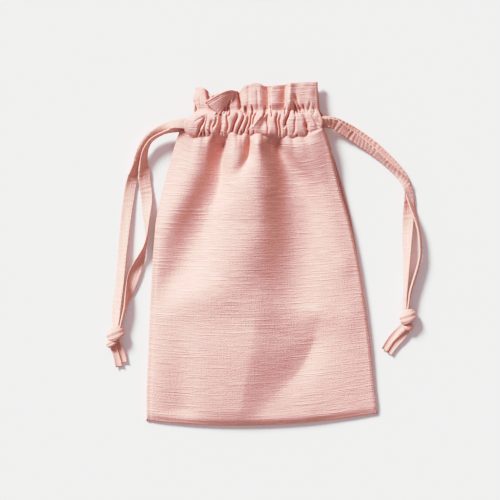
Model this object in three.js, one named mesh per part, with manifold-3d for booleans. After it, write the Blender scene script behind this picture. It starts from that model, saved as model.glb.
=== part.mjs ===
// Drawstring bag of slubbed cloth, empty and lying on its back. Millimetres.
// +Z is up from the table, +Y runs to the mouth, +X to the right as seen from above.
// The origin is on the table, under the middle of the bag without its drawstrings.
import * as THREE from 'three';
import { mergeVertices } from 'three/addons/utils/BufferGeometryUtils.js';
import Module from 'manifold-3d';

const wasm = await Module();
wasm.setup();

// Driving dimensions of the cloth
const BAG_WIDTH = 162;
const BOTTOM = -120;
const CASING_LOW = 81.5;
const CASING_HIGH = 100;
const HEADING_TOP = 120;
const BACK_HEADING_TOP = 117;
const CLOTH = 1.2;
const GAP = 0.3;
const BOTTOM_CORNERS = { left: -115.6, right: -111.2 };
const BOTTOM_SAG = 6.7;
const BOTTOM_BEND = 16;
const FOLDED_FROM = 40;
const GATHERED_FROM = 60;

// Driving dimensions of the gathered neck
const PUFF = 1.3;
const STITCH_SLOPE = 1.2;
const BACK_GATHER_RISE = 1;
const BACK_GATHERS = 11;
const GATHER_RUN = 17;
const HEADING_RUN = 6;
const HEM_DIP = 1.4;
const HEM_SHORT = 1.5;
const HEM_UNDER = 2;
const FLAT_HALF = 0.55;
const BACK_CHANNEL_ROOM = 1.35;

// A fold's strength and half width along its line, from its upper end at 0 to its lower end at 1
const FOLD_FULL_AT = 1 / 3;
const FOLD_FADES_FROM = 0.45;
const FOLD_HALF = { top: 0.7, bottom: 1.3 };

// Columns of the faceted cloths; a hem stops short of the side seams by whole columns of the front
const FRONT_COLUMNS = 50;
const BACK_COLUMNS = 22;
const BACK_HEM_COLUMNS = 16;
const HEM_STOP = 3;
const HEM_INSET = HEM_STOP / FRONT_COLUMNS;

// Driving dimensions of the drawstrings
const TAPE_WIDTH = 8.4;
const CHANNEL_WIDTH = 5.4;
const TAIL_WIDTH = 4.6;
const TAPE_THICK = 1.4;
const LANE = { left: 96.4, right: 85.1 };
const LIMP_STEP = 7;
const TURN_PAST_HEM = 3.9;
const TURN_ROOM = 1.8;
const CHANNEL_STOPS = 14;
const LANE_REACH = 0.3;
const LEVEL_REACH = 0.06;

const CLOTH_COLOUR = 0xecc6bd;
const HEM_COLOUR = 0xe6bcb3;
const TAPE_COLOUR = 0xe9c2b8;

// Cross sections of the bag from the bottom seam to the top of the heading:
// side edges, inside height at the middle, height of the side seam, and how far the side is open for the tapes
const SECTIONS = [
  { at: BOTTOM, left: -BAG_WIDTH / 2, right: BAG_WIDTH / 2, hollow: 0, seam: 0.5, slit: 0 },
  { at: -106, left: -80.9, right: 79.9, hollow: 4.6, seam: 0.5, slit: 0 },
  { at: -72, left: -79.6, right: 77.4, hollow: 9.2, seam: 0.5, slit: 0 },
  { at: -22, left: -77.4, right: 71, hollow: 11.4, seam: 0.5, slit: 0 },
  { at: 16, left: -74.6, right: 64.8, hollow: 12, seam: 0.8, slit: 0 },
  { at: 41, left: -69, right: 58.5, hollow: 12.4, seam: 1.6, slit: 0 },
  { at: 66, left: -61.4, right: 51.3, hollow: 13.6, seam: 3.2, slit: 0 },
  { at: 77, left: -58, right: 47.2, hollow: 14.6, seam: 4.4, slit: 0 },
  { at: 82.5, left: -56, right: 45, hollow: 15, seam: 4.8, slit: 6.3 },
  { at: 91, left: -55.5, right: 46.6, hollow: 15, seam: 5, slit: 6.3 },
  { at: 99, left: -47.2, right: 43.6, hollow: 15, seam: 5, slit: 6.3 },
  { at: 104, left: -47.5, right: 40.8, hollow: 14.2, seam: 4.8, slit: 0 },
  { at: HEADING_TOP, left: -47.5, right: 39.8, hollow: 12, seam: 4, slit: 0 },
];

// Gathers of the casing: place across the front, half width as a share of it, and rise
const GATHERS = [
  { at: 0.05, half: 0.075, rise: 1.6 },
  { at: 0.145, half: 0.035, rise: 2.2 },
  { at: 0.2, half: 0.035, rise: 2.6 },
  { at: 0.325, half: 0.035, rise: 2.4 },
  { at: 0.385, half: 0.032, rise: 2.2 },
  { at: 0.45, half: 0.034, rise: 2.2 },
  { at: 0.53, half: 0.05, rise: 1.6 },
  { at: 0.625, half: 0.045, rise: 2.6 },
  { at: 0.73, half: 0.052, rise: 2.6 },
  { at: 0.82, half: 0.042, rise: 2.4 },
  { at: 0.93, half: 0.07, rise: 1.8 },
];

// Folds of the heading, across the front: rise of the cloth and where its top edge ends
const HEADING_FOLDS = [
  { at: 0, rise: 0, top: 113 },
  { at: 0.1, rise: 5.5, top: 111 },
  { at: 0.22, rise: 1, top: 113.5 },
  { at: 0.32, rise: 3.6, top: 114.5 },
  { at: 0.43, rise: 4, top: 117 },
  { at: 0.52, rise: 0.4, top: 117.5 },
  { at: 0.61, rise: 2.8, top: 117 },
  { at: 0.69, rise: 0.4, top: 119 },
  { at: 0.76, rise: 2.2, top: 119.5 },
  { at: 0.82, rise: 0.5, top: 119.8 },
  { at: 0.92, rise: 3, top: 120 },
  { at: 1, rise: 0, top: 119.5 },
];

// Main folds of the front: the line that each follows from its upper end over a middle point to its lower end,
// its half width, its rise, negative in a valley, and the share of it at its upper end
const FOLDS = [
  { name: 'left valley', from: [-31, 80], by: [-43, 38], to: [-72, -25], half: 8, rise: -3.4, start: 1 },
  { name: 'left ridge', from: [-20, 77], by: [-18.6, 45], to: [-40, -20], half: 10, rise: 3, start: 0.8 },
  { name: 'short crease', from: [-9, 80], by: [-15, 66], to: [-23, 50], half: 4.5, rise: -2, start: 1 },
  { name: 'round ridge', from: [-2.5, 81], by: [-1.5, 62], to: [0.5, 38], half: 6, rise: 2.2, start: 1 },
  { name: 'middle valley', from: [10, 81], by: [16, 35], to: [11, -16], half: 8, rise: -4, start: 1 },
  { name: 'right ridge', from: [27, 77], by: [38, 55], to: [52, 15], half: 14, rise: 2.2, start: 0.8 },
  { name: 'lower dent', from: [33, -52], by: [13, -71], to: [-7, -108], half: 12, rise: -2.6, start: 0 },
];

// Free strands of the drawstrings from the casing into the knot, raised at the first bend and then on the table,
// one over the other where they cross
const LEFT_OUTER = [
  { x: -57.4, y: 91, z: 11.4 },
  { x: -60.5, y: 91, z: 11.6 },
  { x: -64, y: 90.6, z: 12 },
  { x: -68, y: 89.2, z: 12 },
  { x: -74, y: 85.5, z: 11.6 },
  { x: -79.5, y: 79.7, z: 10.4 },
  { x: -83.5, y: 73, z: 8.4 },
  { x: -86, y: 66, z: 6 },
  { x: -88.2, y: 59, z: 4.4 },
  { x: -90, y: 52, z: 2.6 },
  { x: -91.4, y: 45, z: 1.4 },
  { x: -94, y: 29.7, z: 1.1 },
  { x: -95.7, y: 10, z: 1.1 },
  { x: -98, y: -12.3, z: 1.1 },
  { x: -101, y: -33.3, z: 1.3 },
  { x: -102, y: -45, z: 2.2 },
  { x: -102.2, y: -54, z: 3.2 },
];
const LEFT_INNER = [
  { x: -57.4, y: 91, z: 8.5 },
  { x: -60, y: 90.8, z: 8.5 },
  { x: -63, y: 88.4, z: 8.3 },
  { x: -67, y: 84.6, z: 8 },
  { x: -73.2, y: 79.6, z: 7.2 },
  { x: -77.4, y: 74.2, z: 6 },
  { x: -79.8, y: 68, z: 3.6 },
  { x: -81, y: 61, z: 2 },
  { x: -81.2, y: 54, z: 1.3 },
  { x: -81, y: 47, z: 1.1 },
  { x: -80.4, y: 32.5, z: 1.1 },
  { x: -80.4, y: 18, z: 1.1 },
  { x: -82.4, y: 4, z: 1.2 },
  { x: -86, y: -8, z: 1.8 },
  { x: -89.4, y: -18, z: 2.7 },
  { x: -93, y: -29, z: 3.4 },
  { x: -96.4, y: -40, z: 4.2 },
  { x: -98.6, y: -47, z: 5.4 },
  { x: -100, y: -54, z: 6 },
];
const RIGHT_OUTER = [
  { x: 48.4, y: 90.6, z: 8.5 },
  { x: 51, y: 90.8, z: 8.2 },
  { x: 55.5, y: 91, z: 6.2 },
  { x: 62.7, y: 89.4, z: 3.2 },
  { x: 70.6, y: 84.6, z: 1.4 },
  { x: 79, y: 78.3, z: 1.1 },
  { x: 87.2, y: 71.3, z: 1.1 },
  { x: 95.2, y: 64, z: 1.1 },
  { x: 101.4, y: 57, z: 1.1 },
  { x: 105, y: 49, z: 1.1 },
  { x: 107.2, y: 39, z: 1.1 },
  { x: 109, y: 27, z: 1.1 },
  { x: 110.6, y: 13, z: 1.1 },
  { x: 110.8, y: 0, z: 1.1 },
  { x: 109.4, y: -12, z: 1.1 },
  { x: 106.6, y: -24, z: 1.2 },
  { x: 104, y: -34, z: 2 },
  { x: 102.4, y: -43, z: 3 },
];
const RIGHT_INNER = [
  { x: 48.4, y: 90.6, z: 11.4 },
  { x: 50.8, y: 90.4, z: 11 },
  { x: 55, y: 88, z: 9.2 },
  { x: 60.5, y: 84.8, z: 6.6 },
  { x: 68, y: 79.4, z: 4 },
  { x: 75.3, y: 74.6, z: 3.2 },
  { x: 83, y: 68.6, z: 3.1 },
  { x: 91, y: 61.4, z: 3.1 },
  { x: 96.6, y: 54.6, z: 3.1 },
  { x: 99.6, y: 47, z: 3.1 },
  { x: 101, y: 37, z: 3.1 },
  { x: 101.8, y: 22, z: 3 },
  { x: 102, y: 6, z: 2.6 },
  { x: 101.4, y: -10, z: 2.9 },
  { x: 100.6, y: -24, z: 3.6 },
  { x: 100, y: -34, z: 5 },
  { x: 99.8, y: -43, z: 6 },
];
const LEFT_TAILS = {
  outer: [{ x: -104, y: -61, z: 3 }, { x: -102.6, y: -69, z: 1.4 }, { x: -100, y: -79, z: 1.1 }],
  inner: [{ x: -98.6, y: -60, z: 3.4 }, { x: -96.8, y: -68, z: 1.6 }, { x: -94.2, y: -75.4, z: 1.1 }],
};
const RIGHT_TAILS = {
  outer: [{ x: 102, y: -50, z: 3.4 }, { x: 98, y: -58, z: 1.6 }, { x: 92.4, y: -66, z: 1.1 }],
  inner: [{ x: 96, y: -48, z: 3 }, { x: 90.6, y: -57.4, z: 1.4 }, { x: 85, y: -66.6, z: 1.1 }],
};
const KNOTS = {
  left: { x: -101.8, y: -57.4, turn: 0.35 },
  right: { x: 100.8, y: -46.6, turn: -0.5 },
};
const KNOT = { width: 13, length: 16.5, height: 9.6, wrapRadius: 5.4, wrapThick: 2.3, lift: 0.2, slant: 0.55 };
const KNOT_FACETS = { round: 12, along: 8, wrap: 6, wrapRound: 14 };

// Smooth value of one column of a table between its rows, with no overshoot (monotone cubic)
function column(rows, name) {
  const slopes = rows.slice(1).map((row, i) => (row[name] - rows[i][name]) / (row.at - rows[i].at));
  const tangents = rows.map((row, i) => {
    if (i === 0) return slopes[0];
    if (i === rows.length - 1) return slopes[i - 1];
    const [before, after] = [slopes[i - 1], slopes[i]];
    return before * after <= 0 ? 0 : 2 * before * after / (before + after);
  });
  return (at) => {
    const last = rows.findIndex((row) => row.at >= at);
    const i = last < 0 ? rows.length - 2 : Math.max(last - 1, 0);
    const span = rows[i + 1].at - rows[i].at;
    const t = THREE.MathUtils.clamp((at - rows[i].at) / span, 0, 1);
    const [from, to] = [rows[i][name], rows[i + 1][name]];
    const ease = t * t * (3 - 2 * t);
    const lean = t * (1 - t) * span;
    return from + (to - from) * ease + lean * ((1 - t) * tangents[i] - t * tangents[i + 1]);
  };
}

const leftEdge = column(SECTIONS, 'left');
const rightEdge = column(SECTIONS, 'right');
const hollowHeight = column(SECTIONS, 'hollow');
const seamHeight = column(SECTIONS, 'seam');
const slitHeight = column(SECTIONS, 'slit');
const headingRise = column(HEADING_FOLDS, 'rise');
const headingTop = column(HEADING_FOLDS, 'top');

const { lerp, smoothstep } = THREE.MathUtils;
const fromMiddle = (share) => Math.abs(2 * share - 1);

// Place on the table of a point at a share across the cloth and a station along it
function acrossX(share, station) {
  return lerp(leftEdge(station), rightEdge(station), share);
}
function alongY(share, station, top) {
  if (station > CASING_HIGH) {
    return CASING_HIGH + (station - CASING_HIGH) * (top - CASING_HIGH) / (HEADING_TOP - CASING_HIGH);
  }
  const edge = lerp(BOTTOM_CORNERS.left, BOTTOM_CORNERS.right, share) - BOTTOM_SAG * 4 * share * (1 - share);
  return station + (edge - BOTTOM) * Math.max(0, CASING_LOW - station) / (CASING_LOW - BOTTOM);
}

// The sides of the back curl up from the flat middle to the height of the side seam
function curl(share, station) {
  const reach = Math.max(0, fromMiddle(share) - FLAT_HALF) / (1 - FLAT_HALF);
  return seamHeight(station) * reach * reach;
}

// Inside height between the two cloths: full in the middle, closing to the side seams
function insideHeight(share, station) {
  const open = slitHeight(station);
  return open + (hollowHeight(station) - open) * (1 - fromMiddle(share) ** 3);
}

// Share of the gathers that shows at a station: all of it on the casing, running out below and above
function gatherShare(station) {
  const below = smoothstep(station, CASING_LOW - GATHER_RUN, CASING_LOW);
  return below * (1 - smoothstep(station, CASING_HIGH, CASING_HIGH + HEADING_RUN));
}

// The channel between the two rows of stitches, 0 on a row and 1 between them
function channelShare(station) {
  return smoothstep(station, CASING_LOW, CASING_LOW + STITCH_SLOPE)
    * (1 - smoothstep(station, CASING_HIGH - STITCH_SLOPE, CASING_HIGH));
}

function frontGather(share) {
  const rises = GATHERS.map((gather) => {
    const reach = Math.min(1, Math.abs(share - gather.at) / gather.half);
    return gather.rise * Math.cos(reach * Math.PI / 2) ** 2;
  });
  return Math.max(...rises);
}

function backGather(share) {
  return BACK_GATHER_RISE * Math.sin(BACK_GATHERS * Math.PI * share) ** 2;
}

// Height that the main folds add at a point of the front: a smooth hump across each fold's line
function foldHeight(x, y, share, station) {
  let height = 0;
  for (const fold of FOLDS) {
    const t = (fold.from[1] - y) / (fold.from[1] - fold.to[1]);
    if (t <= 0 || t >= 1) continue;
    const middle = (1 - t) ** 2 * fold.from[0] + 2 * t * (1 - t) * fold.by[0] + t * t * fold.to[0];
    const strength = lerp(fold.start, 1, Math.min(1, t / FOLD_FULL_AT)) * (1 - smoothstep(t, FOLD_FADES_FROM, 1));
    const half = fold.half * lerp(FOLD_HALF.top, FOLD_HALF.bottom, t);
    height += fold.rise * strength * Math.exp(-(((x - middle) / half) ** 2));
  }
  const clear = 1 - smoothstep(station, CASING_LOW - HEADING_RUN - HEM_UNDER, CASING_LOW - HEM_UNDER);
  return height * clear * (1 - fromMiddle(share) ** 6) * smoothstep(station, BOTTOM, BOTTOM + GATHER_RUN);
}

// Underside of the front cloth with nothing gathered, which the hem lies against
function frontBase(share, station) {
  return curl(share, station) + CLOTH + GAP + insideHeight(share, station);
}

function headingWave(share, station) {
  return headingRise(share) * smoothstep(station, CASING_HIGH, HEADING_TOP - HEADING_RUN);
}

// Undersides of the four cloths, as points over the share across and the station along
function frontUnder(share, station) {
  const x = acrossX(share, station);
  const y = alongY(share, station, headingTop(share));
  const neck = frontGather(share) * gatherShare(station) + PUFF * channelShare(station);
  const z = frontBase(share, station) + neck + headingWave(share, station) + foldHeight(x, y, share, station);
  return new THREE.Vector3(x, y, z);
}
function backUnder(share, station) {
  const gathered = station > CASING_HIGH ? smoothstep(station, CASING_LOW - GATHER_RUN, CASING_LOW)
    : gatherShare(station);
  const z = curl(share, station) + backGather(share) * gathered;
  return new THREE.Vector3(acrossX(share, station), alongY(share, station, BACK_HEADING_TOP), z);
}
function frontHemUnder(share, station) {
  const across = lerp(HEM_INSET, 1 - HEM_INSET, share);
  const z = frontBase(across, station) - GAP - CLOTH - HEM_DIP * channelShare(station)
    + headingWave(across, station) * smoothstep(station, CASING_HIGH, CASING_HIGH + HEADING_RUN);
  return new THREE.Vector3(acrossX(across, station), alongY(across, station, headingTop(across)), z);
}
function backHemUnder(share, station) {
  const across = lerp(HEM_INSET, 1 - HEM_INSET, share);
  const z = curl(across, station) + BACK_GATHER_RISE + CLOTH + GAP
    + (TAPE_THICK + BACK_CHANNEL_ROOM) * channelShare(station);
  return new THREE.Vector3(acrossX(across, station), alongY(across, station, BACK_HEADING_TOP), z);
}

function steps(from, to, count) {
  return Array.from({ length: count }, (unused, i) => lerp(from, to, i / count));
}

// A closed wall of cloth: a grid of points for its underside, the same grid one cloth higher, and the rim between
function clothWall(under, columns, stations) {
  const rows = stations.length;
  const wide = columns + 1;
  const shares = Array.from({ length: wide }, (unused, i) => i / columns);
  const lower = stations.flatMap((station) => shares.map((share) => under(share, station)));
  const upper = lower.map((point) => point.clone().setZ(point.z + CLOTH));
  const triangles = [];
  const quad = (a, b, c, d) => triangles.push(a, b, c, a, c, d);
  const top = lower.length;
  for (let row = 0; row < rows - 1; row += 1) {
    for (let i = 0; i < columns; i += 1) {
      const a = row * wide + i;
      quad(a, a + wide, a + wide + 1, a + 1);
      quad(top + a, top + a + 1, top + a + wide + 1, top + a + wide);
    }
    const [left, right] = [row * wide, row * wide + columns];
    quad(left, top + left, top + left + wide, left + wide);
    quad(right, right + wide, top + right + wide, top + right);
  }
  for (let i = 0; i < columns; i += 1) {
    const far = (rows - 1) * wide + i;
    quad(i, i + 1, top + i + 1, top + i);
    quad(far, top + far, top + far + 1, far + 1);
  }
  const geometry = new THREE.BufferGeometry().setFromPoints([...lower, ...upper]);
  geometry.setIndex(triangles);
  geometry.computeVertexNormals();
  return geometry;
}

// A tape's route: the width of its section stays level
class TapeRoute extends THREE.CatmullRomCurve3 {
  constructor(stops) {
    super(stops.map((stop) => new THREE.Vector3(stop.x, stop.y, stop.z)), false, 'centripetal');
  }

  widthAxis(tangent) {
    return new THREE.Vector3(tangent.y, -tangent.x, 0).normalize();
  }

  computeFrenetFrames(segments) {
    const frames = { tangents: [], normals: [], binormals: [] };
    for (let i = 0; i <= segments; i += 1) {
      const tangent = this.getTangentAt(i / segments);
      const width = this.widthAxis(tangent);
      width.addScaledVector(tangent, -width.dot(tangent)).normalize();
      frames.tangents.push(tangent);
      frames.binormals.push(width);
      frames.normals.push(new THREE.Vector3().crossVectors(width, tangent));
    }
    return frames;
  }
}

// The stretch in the channels turns back on itself in an upright plane, so its width stays along Y
class ChannelRoute extends TapeRoute {
  widthAxis() {
    return new THREE.Vector3(0, 1, 0);
  }
}

// Eight-sided section of a tape, thin along the first axis and wide along the second
function tapeSection(width) {
  const [thin, wide, bevel] = [TAPE_THICK / 2, width / 2, TAPE_THICK / 4];
  return new THREE.Shape([
    [thin, wide - bevel], [thin - bevel, wide], [bevel - thin, wide], [-thin, wide - bevel],
    [-thin, bevel - wide], [bevel - thin, -wide], [thin - bevel, -wide], [thin, bevel - wide],
  ].map(([x, y]) => new THREE.Vector2(x, y)));
}

function tape(route, width) {
  const count = Math.ceil(route.getLength() / LIMP_STEP);
  return new THREE.ExtrudeGeometry(tapeSection(width), { steps: count, extrudePath: route, bevelEnabled: false });
}

// A tape's stretch in the two channels: in along the front channel, round the far end and back along the back one
function channelRoute(side, frontExit, backExit) {
  const far = side === 'left' ? 1 : -1;
  const laneEdges = [LANE[side] - CHANNEL_WIDTH / 2, LANE[side] + CHANNEL_WIDTH / 2];
  const hemEnds = laneEdges.map((y) => far * acrossX(side === 'left' ? 1 - HEM_INSET : HEM_INSET, y));
  const turnX = far * (Math.max(...hemEnds) + TURN_PAST_HEM);
  const exitX = frontExit.x + far * 2 * GAP;
  const stop = (along, exit, isFront) => {
    const x = lerp(exitX, turnX - far * TURN_ROOM, along);
    const y = lerp(exit.y, LANE[side], smoothstep(along, 0, LANE_REACH));
    const share = THREE.MathUtils.clamp((x - leftEdge(y)) / (rightEdge(y) - leftEdge(y)), 0, 1);
    const low = curl(share, y) + BACK_GATHER_RISE + CLOTH + 3 * GAP + TAPE_THICK / 2;
    const high = frontBase(share, y) - (HEM_DIP + GAP - PUFF) / 2;
    return { x, y, z: lerp(exit.z, isFront ? high : low, smoothstep(along, 0, LEVEL_REACH)) };
  };
  const shares = [...steps(0, 1, CHANNEL_STOPS), 1];
  const front = shares.map((along) => stop(along, frontExit, true));
  const back = shares.map((along) => stop(along, backExit, false)).reverse();
  const turn = { x: turnX, y: LANE[side], z: (front.at(-1).z + back[0].z) / 2 };
  return new ChannelRoute([...front, turn, ...back]);
}

function toSolid(geometry) {
  const bare = geometry.clone();
  bare.deleteAttribute('normal');
  bare.deleteAttribute('uv');
  const merged = mergeVertices(bare, 1e-4);
  return new wasm.Manifold(new wasm.Mesh({
    numProp: 3,
    vertProperties: new Float32Array(merged.attributes.position.array),
    triVerts: new Uint32Array(merged.index.array),
  }));
}

function toGeometry(solid) {
  const mesh = solid.getMesh();
  const geometry = new THREE.BufferGeometry();
  geometry.setAttribute('position', new THREE.BufferAttribute(new Float32Array(mesh.vertProperties), 3));
  geometry.setIndex(new THREE.BufferAttribute(new Uint32Array(mesh.triVerts), 1));
  geometry.computeVertexNormals();
  return geometry;
}

// An overhand knot's outer form: a rounded core along the strands, with one slanting wrap round it
function knotSolid(place, grow) {
  const core = new THREE.SphereGeometry(0.5, KNOT_FACETS.round, KNOT_FACETS.along);
  core.scale(KNOT.width + grow, KNOT.length + grow, KNOT.height + grow);
  const tube = KNOT.wrapThick + grow / 2;
  const wrap = new THREE.TorusGeometry(KNOT.wrapRadius, tube, KNOT_FACETS.wrap, KNOT_FACETS.wrapRound);
  wrap.rotateX(Math.PI / 2).rotateZ(KNOT.slant);
  wrap.scale(1, 1, KNOT.height / 2 / (KNOT.wrapRadius + KNOT.wrapThick));
  for (const geometry of [core, wrap]) {
    geometry.rotateZ(place.turn).translate(place.x, place.y, KNOT.height / 2 + KNOT.lift);
  }
  return toSolid(core).add(toSolid(wrap));
}

const bag = new THREE.Group();

function addPiece(name, geometry, colour) {
  const material = new THREE.MeshStandardMaterial({ color: colour, roughness: 0.9, metalness: 0 });
  const mesh = new THREE.Mesh(geometry, material);
  mesh.name = name;
  bag.add(mesh);
}

// Rows of the cloths along the bag: close at the bottom seam, on the folds and at the rows of stitches
const casingRows = [CASING_LOW - HEM_UNDER, CASING_LOW, CASING_LOW + STITCH_SLOPE,
  ...steps(lerp(CASING_LOW, CASING_HIGH, 1 / 3), CASING_HIGH - STITCH_SLOPE, 2),
  CASING_HIGH - STITCH_SLOPE, CASING_HIGH];
const headingRows = [...steps(CASING_HIGH + 2, HEADING_TOP - HEM_SHORT, 3), HEADING_TOP - HEM_SHORT];
const hemRows = [...casingRows, ...headingRows];
const frontRows = [...steps(BOTTOM, BOTTOM + BOTTOM_BEND, 3), ...steps(BOTTOM + BOTTOM_BEND, FOLDED_FROM, 9),
  ...steps(FOLDED_FROM, CASING_LOW - HEM_UNDER, 5), ...hemRows, HEADING_TOP];
const backRows = [...steps(BOTTOM, BOTTOM + BOTTOM_BEND, 2), ...steps(BOTTOM + BOTTOM_BEND, GATHERED_FROM, 4),
  ...steps(GATHERED_FROM, CASING_LOW - HEM_UNDER, 2), ...hemRows, HEADING_TOP];

addPiece('front_panel', clothWall(frontUnder, FRONT_COLUMNS, frontRows), CLOTH_COLOUR);
addPiece('back_panel', clothWall(backUnder, BACK_COLUMNS, backRows), CLOTH_COLOUR);
addPiece('front_hem', clothWall(frontHemUnder, FRONT_COLUMNS - 2 * HEM_STOP, hemRows), HEM_COLOUR);
addPiece('back_hem', clothWall(backHemUnder, BACK_HEM_COLUMNS, hemRows), HEM_COLOUR);

const DRAWSTRINGS = [
  { side: 'left', exits: ['outer', 'inner'],
    strands: { outer: LEFT_OUTER, inner: LEFT_INNER }, tails: LEFT_TAILS },
  { side: 'right', exits: ['inner', 'outer'],
    strands: { outer: RIGHT_OUTER, inner: RIGHT_INNER }, tails: RIGHT_TAILS },
];
for (const { side, exits, strands, tails } of DRAWSTRINGS) {
  const clearance = knotSolid(KNOTS[side], 2 * GAP);
  const free = (stops, width) => toGeometry(toSolid(tape(new TapeRoute(stops), width)).subtract(clearance));
  const hidden = channelRoute(side, ...exits.map((exit) => strands[exit][0]));
  addPiece(`${side}_channel_tape`, tape(hidden, CHANNEL_WIDTH), TAPE_COLOUR);
  for (const strand of ['outer', 'inner']) {
    addPiece(`${side}_strand_${strand}`, free(strands[strand], TAPE_WIDTH), TAPE_COLOUR);
    addPiece(`${side}_tail_${strand}`, free(tails[strand], TAIL_WIDTH), TAPE_COLOUR);
  }
  addPiece(`${side}_knot`, toGeometry(knotSolid(KNOTS[side], 0)), TAPE_COLOUR);
}

export default bag;
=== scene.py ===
"""Drawstring bag of pale pink slubbed cloth, lying on its back with its mouth drawn partly closed.

Tables are in millimetres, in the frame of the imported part: +Z up from the surface, +Y to the mouth.
"""
import math
import bpy
import numpy as np
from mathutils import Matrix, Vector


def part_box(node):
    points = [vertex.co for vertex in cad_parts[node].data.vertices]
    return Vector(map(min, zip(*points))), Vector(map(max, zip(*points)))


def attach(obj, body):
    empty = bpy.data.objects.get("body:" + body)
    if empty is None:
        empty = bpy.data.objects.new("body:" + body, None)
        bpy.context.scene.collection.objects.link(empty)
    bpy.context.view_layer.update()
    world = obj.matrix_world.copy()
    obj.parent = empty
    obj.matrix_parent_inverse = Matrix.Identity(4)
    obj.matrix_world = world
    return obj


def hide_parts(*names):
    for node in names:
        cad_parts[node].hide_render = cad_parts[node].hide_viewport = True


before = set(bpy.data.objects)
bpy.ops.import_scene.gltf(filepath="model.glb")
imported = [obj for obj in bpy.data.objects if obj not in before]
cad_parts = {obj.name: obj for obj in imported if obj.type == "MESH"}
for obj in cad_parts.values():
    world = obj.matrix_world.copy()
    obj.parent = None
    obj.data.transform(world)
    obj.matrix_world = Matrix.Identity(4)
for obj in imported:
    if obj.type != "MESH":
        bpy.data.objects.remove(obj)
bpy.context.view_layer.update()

bl_info = {
    "name": "Drawstring Bag",
    "version": (1, 0, 0),
    "blender": (4, 5, 0),
    "location": "3D View > Sidebar > Bag",
    "description": "Makes the cloths, drawstrings and stitches of a drawstring bag around its packed frame",
    "category": "Add Mesh",
}

MM = 0.001
FRONT_LOW, FRONT_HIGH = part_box("front_panel")
TABLE_WIDTH = 0.162
TABLE_LENGTH = 0.2403

# Cross sections of the body from the bottom seam to the casing: side edges, inside height, height of the
# seam, and how square the section is
SECTION_COLUMNS = ("at", "left", "right", "hollow", "seam", "square")
SECTIONS = np.array([
    (-120, -81, 81, 1.4, 0.2, 12), (-119, -81, 80.8, 2.3, 0.2, 12), (-117.5, -80.9, 80.6, 2.9, 0.2, 12),
    (-112, -80.9, 80.3, 3.4, 0.2, 12), (-106, -80.9, 79.5, 3.9, 0.2, 12), (-72, -79.6, 76.5, 6.6, 0.2, 12),
    (-22, -77.4, 70, 8.4, 0.3, 12), (16, -74.8, 62.5, 10.2, 0.6, 11), (41, -69.5, 55.5, 11.4, 1.4, 9),
    (66, -62.2, 49, 11, 3, 6), (77, -58.6, 45.4, 10.4, 4.6, 5), (82.5, -56.4, 43.6, 9.8, 6.4, 4.4),
])

# Shape of the body: its bottom edge, rolled sides, slopes to either side, and side seam
BOTTOM, BODY_TOP = SECTIONS[0, 0], SECTIONS[-1, 0]
BOTTOM_CORNERS = (-117.0, -112.0)
BOTTOM_SAG = 5.9
BOTTOM_ROLL = 2.2
BOTTOM_DROP = 1.9
BOTTOM_LOW = 1.2
BOTTOM_EASE = 3.2
SIDE_OUT = 0.5
FLAT_HALF = 0.55
FRONT_LIFT = 3.9
LEFT_SLOPE = 0.35
RIGHT_SLOPE = 0.6
RIGHT_ROUND = 0.15
RIGHT_BEGIN, RIGHT_BEGIN_LATER = 0.4, 0.25
RIGHT_SQUARE = 14
ROUND_SQUARE, RIGHT_LOWER, RIGHT_EDGE, LEFT_FALL = (2.0, 9.0), (-25, -60), (0.9, 1.0), (0.35, 0.0)
ROW_CROWDING, BEND_FROM = 1.25, 0.75
CLEAR, CORNER_CLEAR = 0.12, 0.7
SEAM_INSET, SEAM_WIDTH, SEAM_DEPTH, SEAM_FADE = 3.0, 0.5, 0.5, (40, 10)

# Arcs over which the cloths roll at their edges, in degrees from the edge inwards
ARC_STEPS = 6
FRONT_ARC = (140, 24)
NECK_ARC = (150, 15)

# The two rows of stitches that bound the casing, across the neck
ROW_COLUMNS = ("x", "low", "high")
CASING_ROWS = np.array([
    (-56.5, 86.4, 93.4), (-53, 84.6, 97), (-49, 83, 99.2), (-45, 82.4, 99.7), (-38, 82.8, 99.8),
    (-25, 83.6, 100), (-12, 83.2, 100), (4, 83.2, 100), (14, 82.4, 100.2), (23, 81.6, 100.4),
    (34, 82.8, 101), (40, 84.8, 99.8), (45, 88.4, 95.6),
])

# Shape of the casing and the heading
CASING_LOW, CASING_LONG, HEADING_LONG = 83.0, 17.0, 18.0
CASING_EDGE_HEIGHT = 11.4
CASING_HEIGHT, CASING_SQUARE = 14.2, 4.0
CASING_PUFF, PUFF_SQUARE, PUFF_FULL = 3.0, 3.4, 0.8
UNDER_CASING, CASING_TUCK = 2.5, 1.4
CREASE_FLOOR, HEADING_FLOOR = 2.1, 3.0
HEADING_RISE, HEADING_FALL = 0.8, 2.6
HEM_LINE, HEM_GROOVE = 2.5, 0.22
LOW_SCALLOP, SCALLOP_REACH = 0.5, 2.4
NECK_UNEVEN = 0.2
NECK_ROLL = 2.4
LOW_ROLL = 1.3
TOP_ROLL = 0.5

# Sides of the casing and the heading, at places along the bag
SIDE_COLUMNS = ("at", "left", "right")
NECK_SIDES = np.array([
    (82.5, -52, 39.5), (85, -54.3, 42), (88, -55.2, 43.3), (91, -55.4, 43.7), (94, -54.2, 43.2),
    (96.5, -51.4, 42.3), (98.5, -48.4, 41.4), (101.5, -45.4, 40.4), (106, -47.2, 39.9), (111, -48.6, 39.8),
    (114, -48.2, 39.8), (118.5, -46, 39.9),
])

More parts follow.
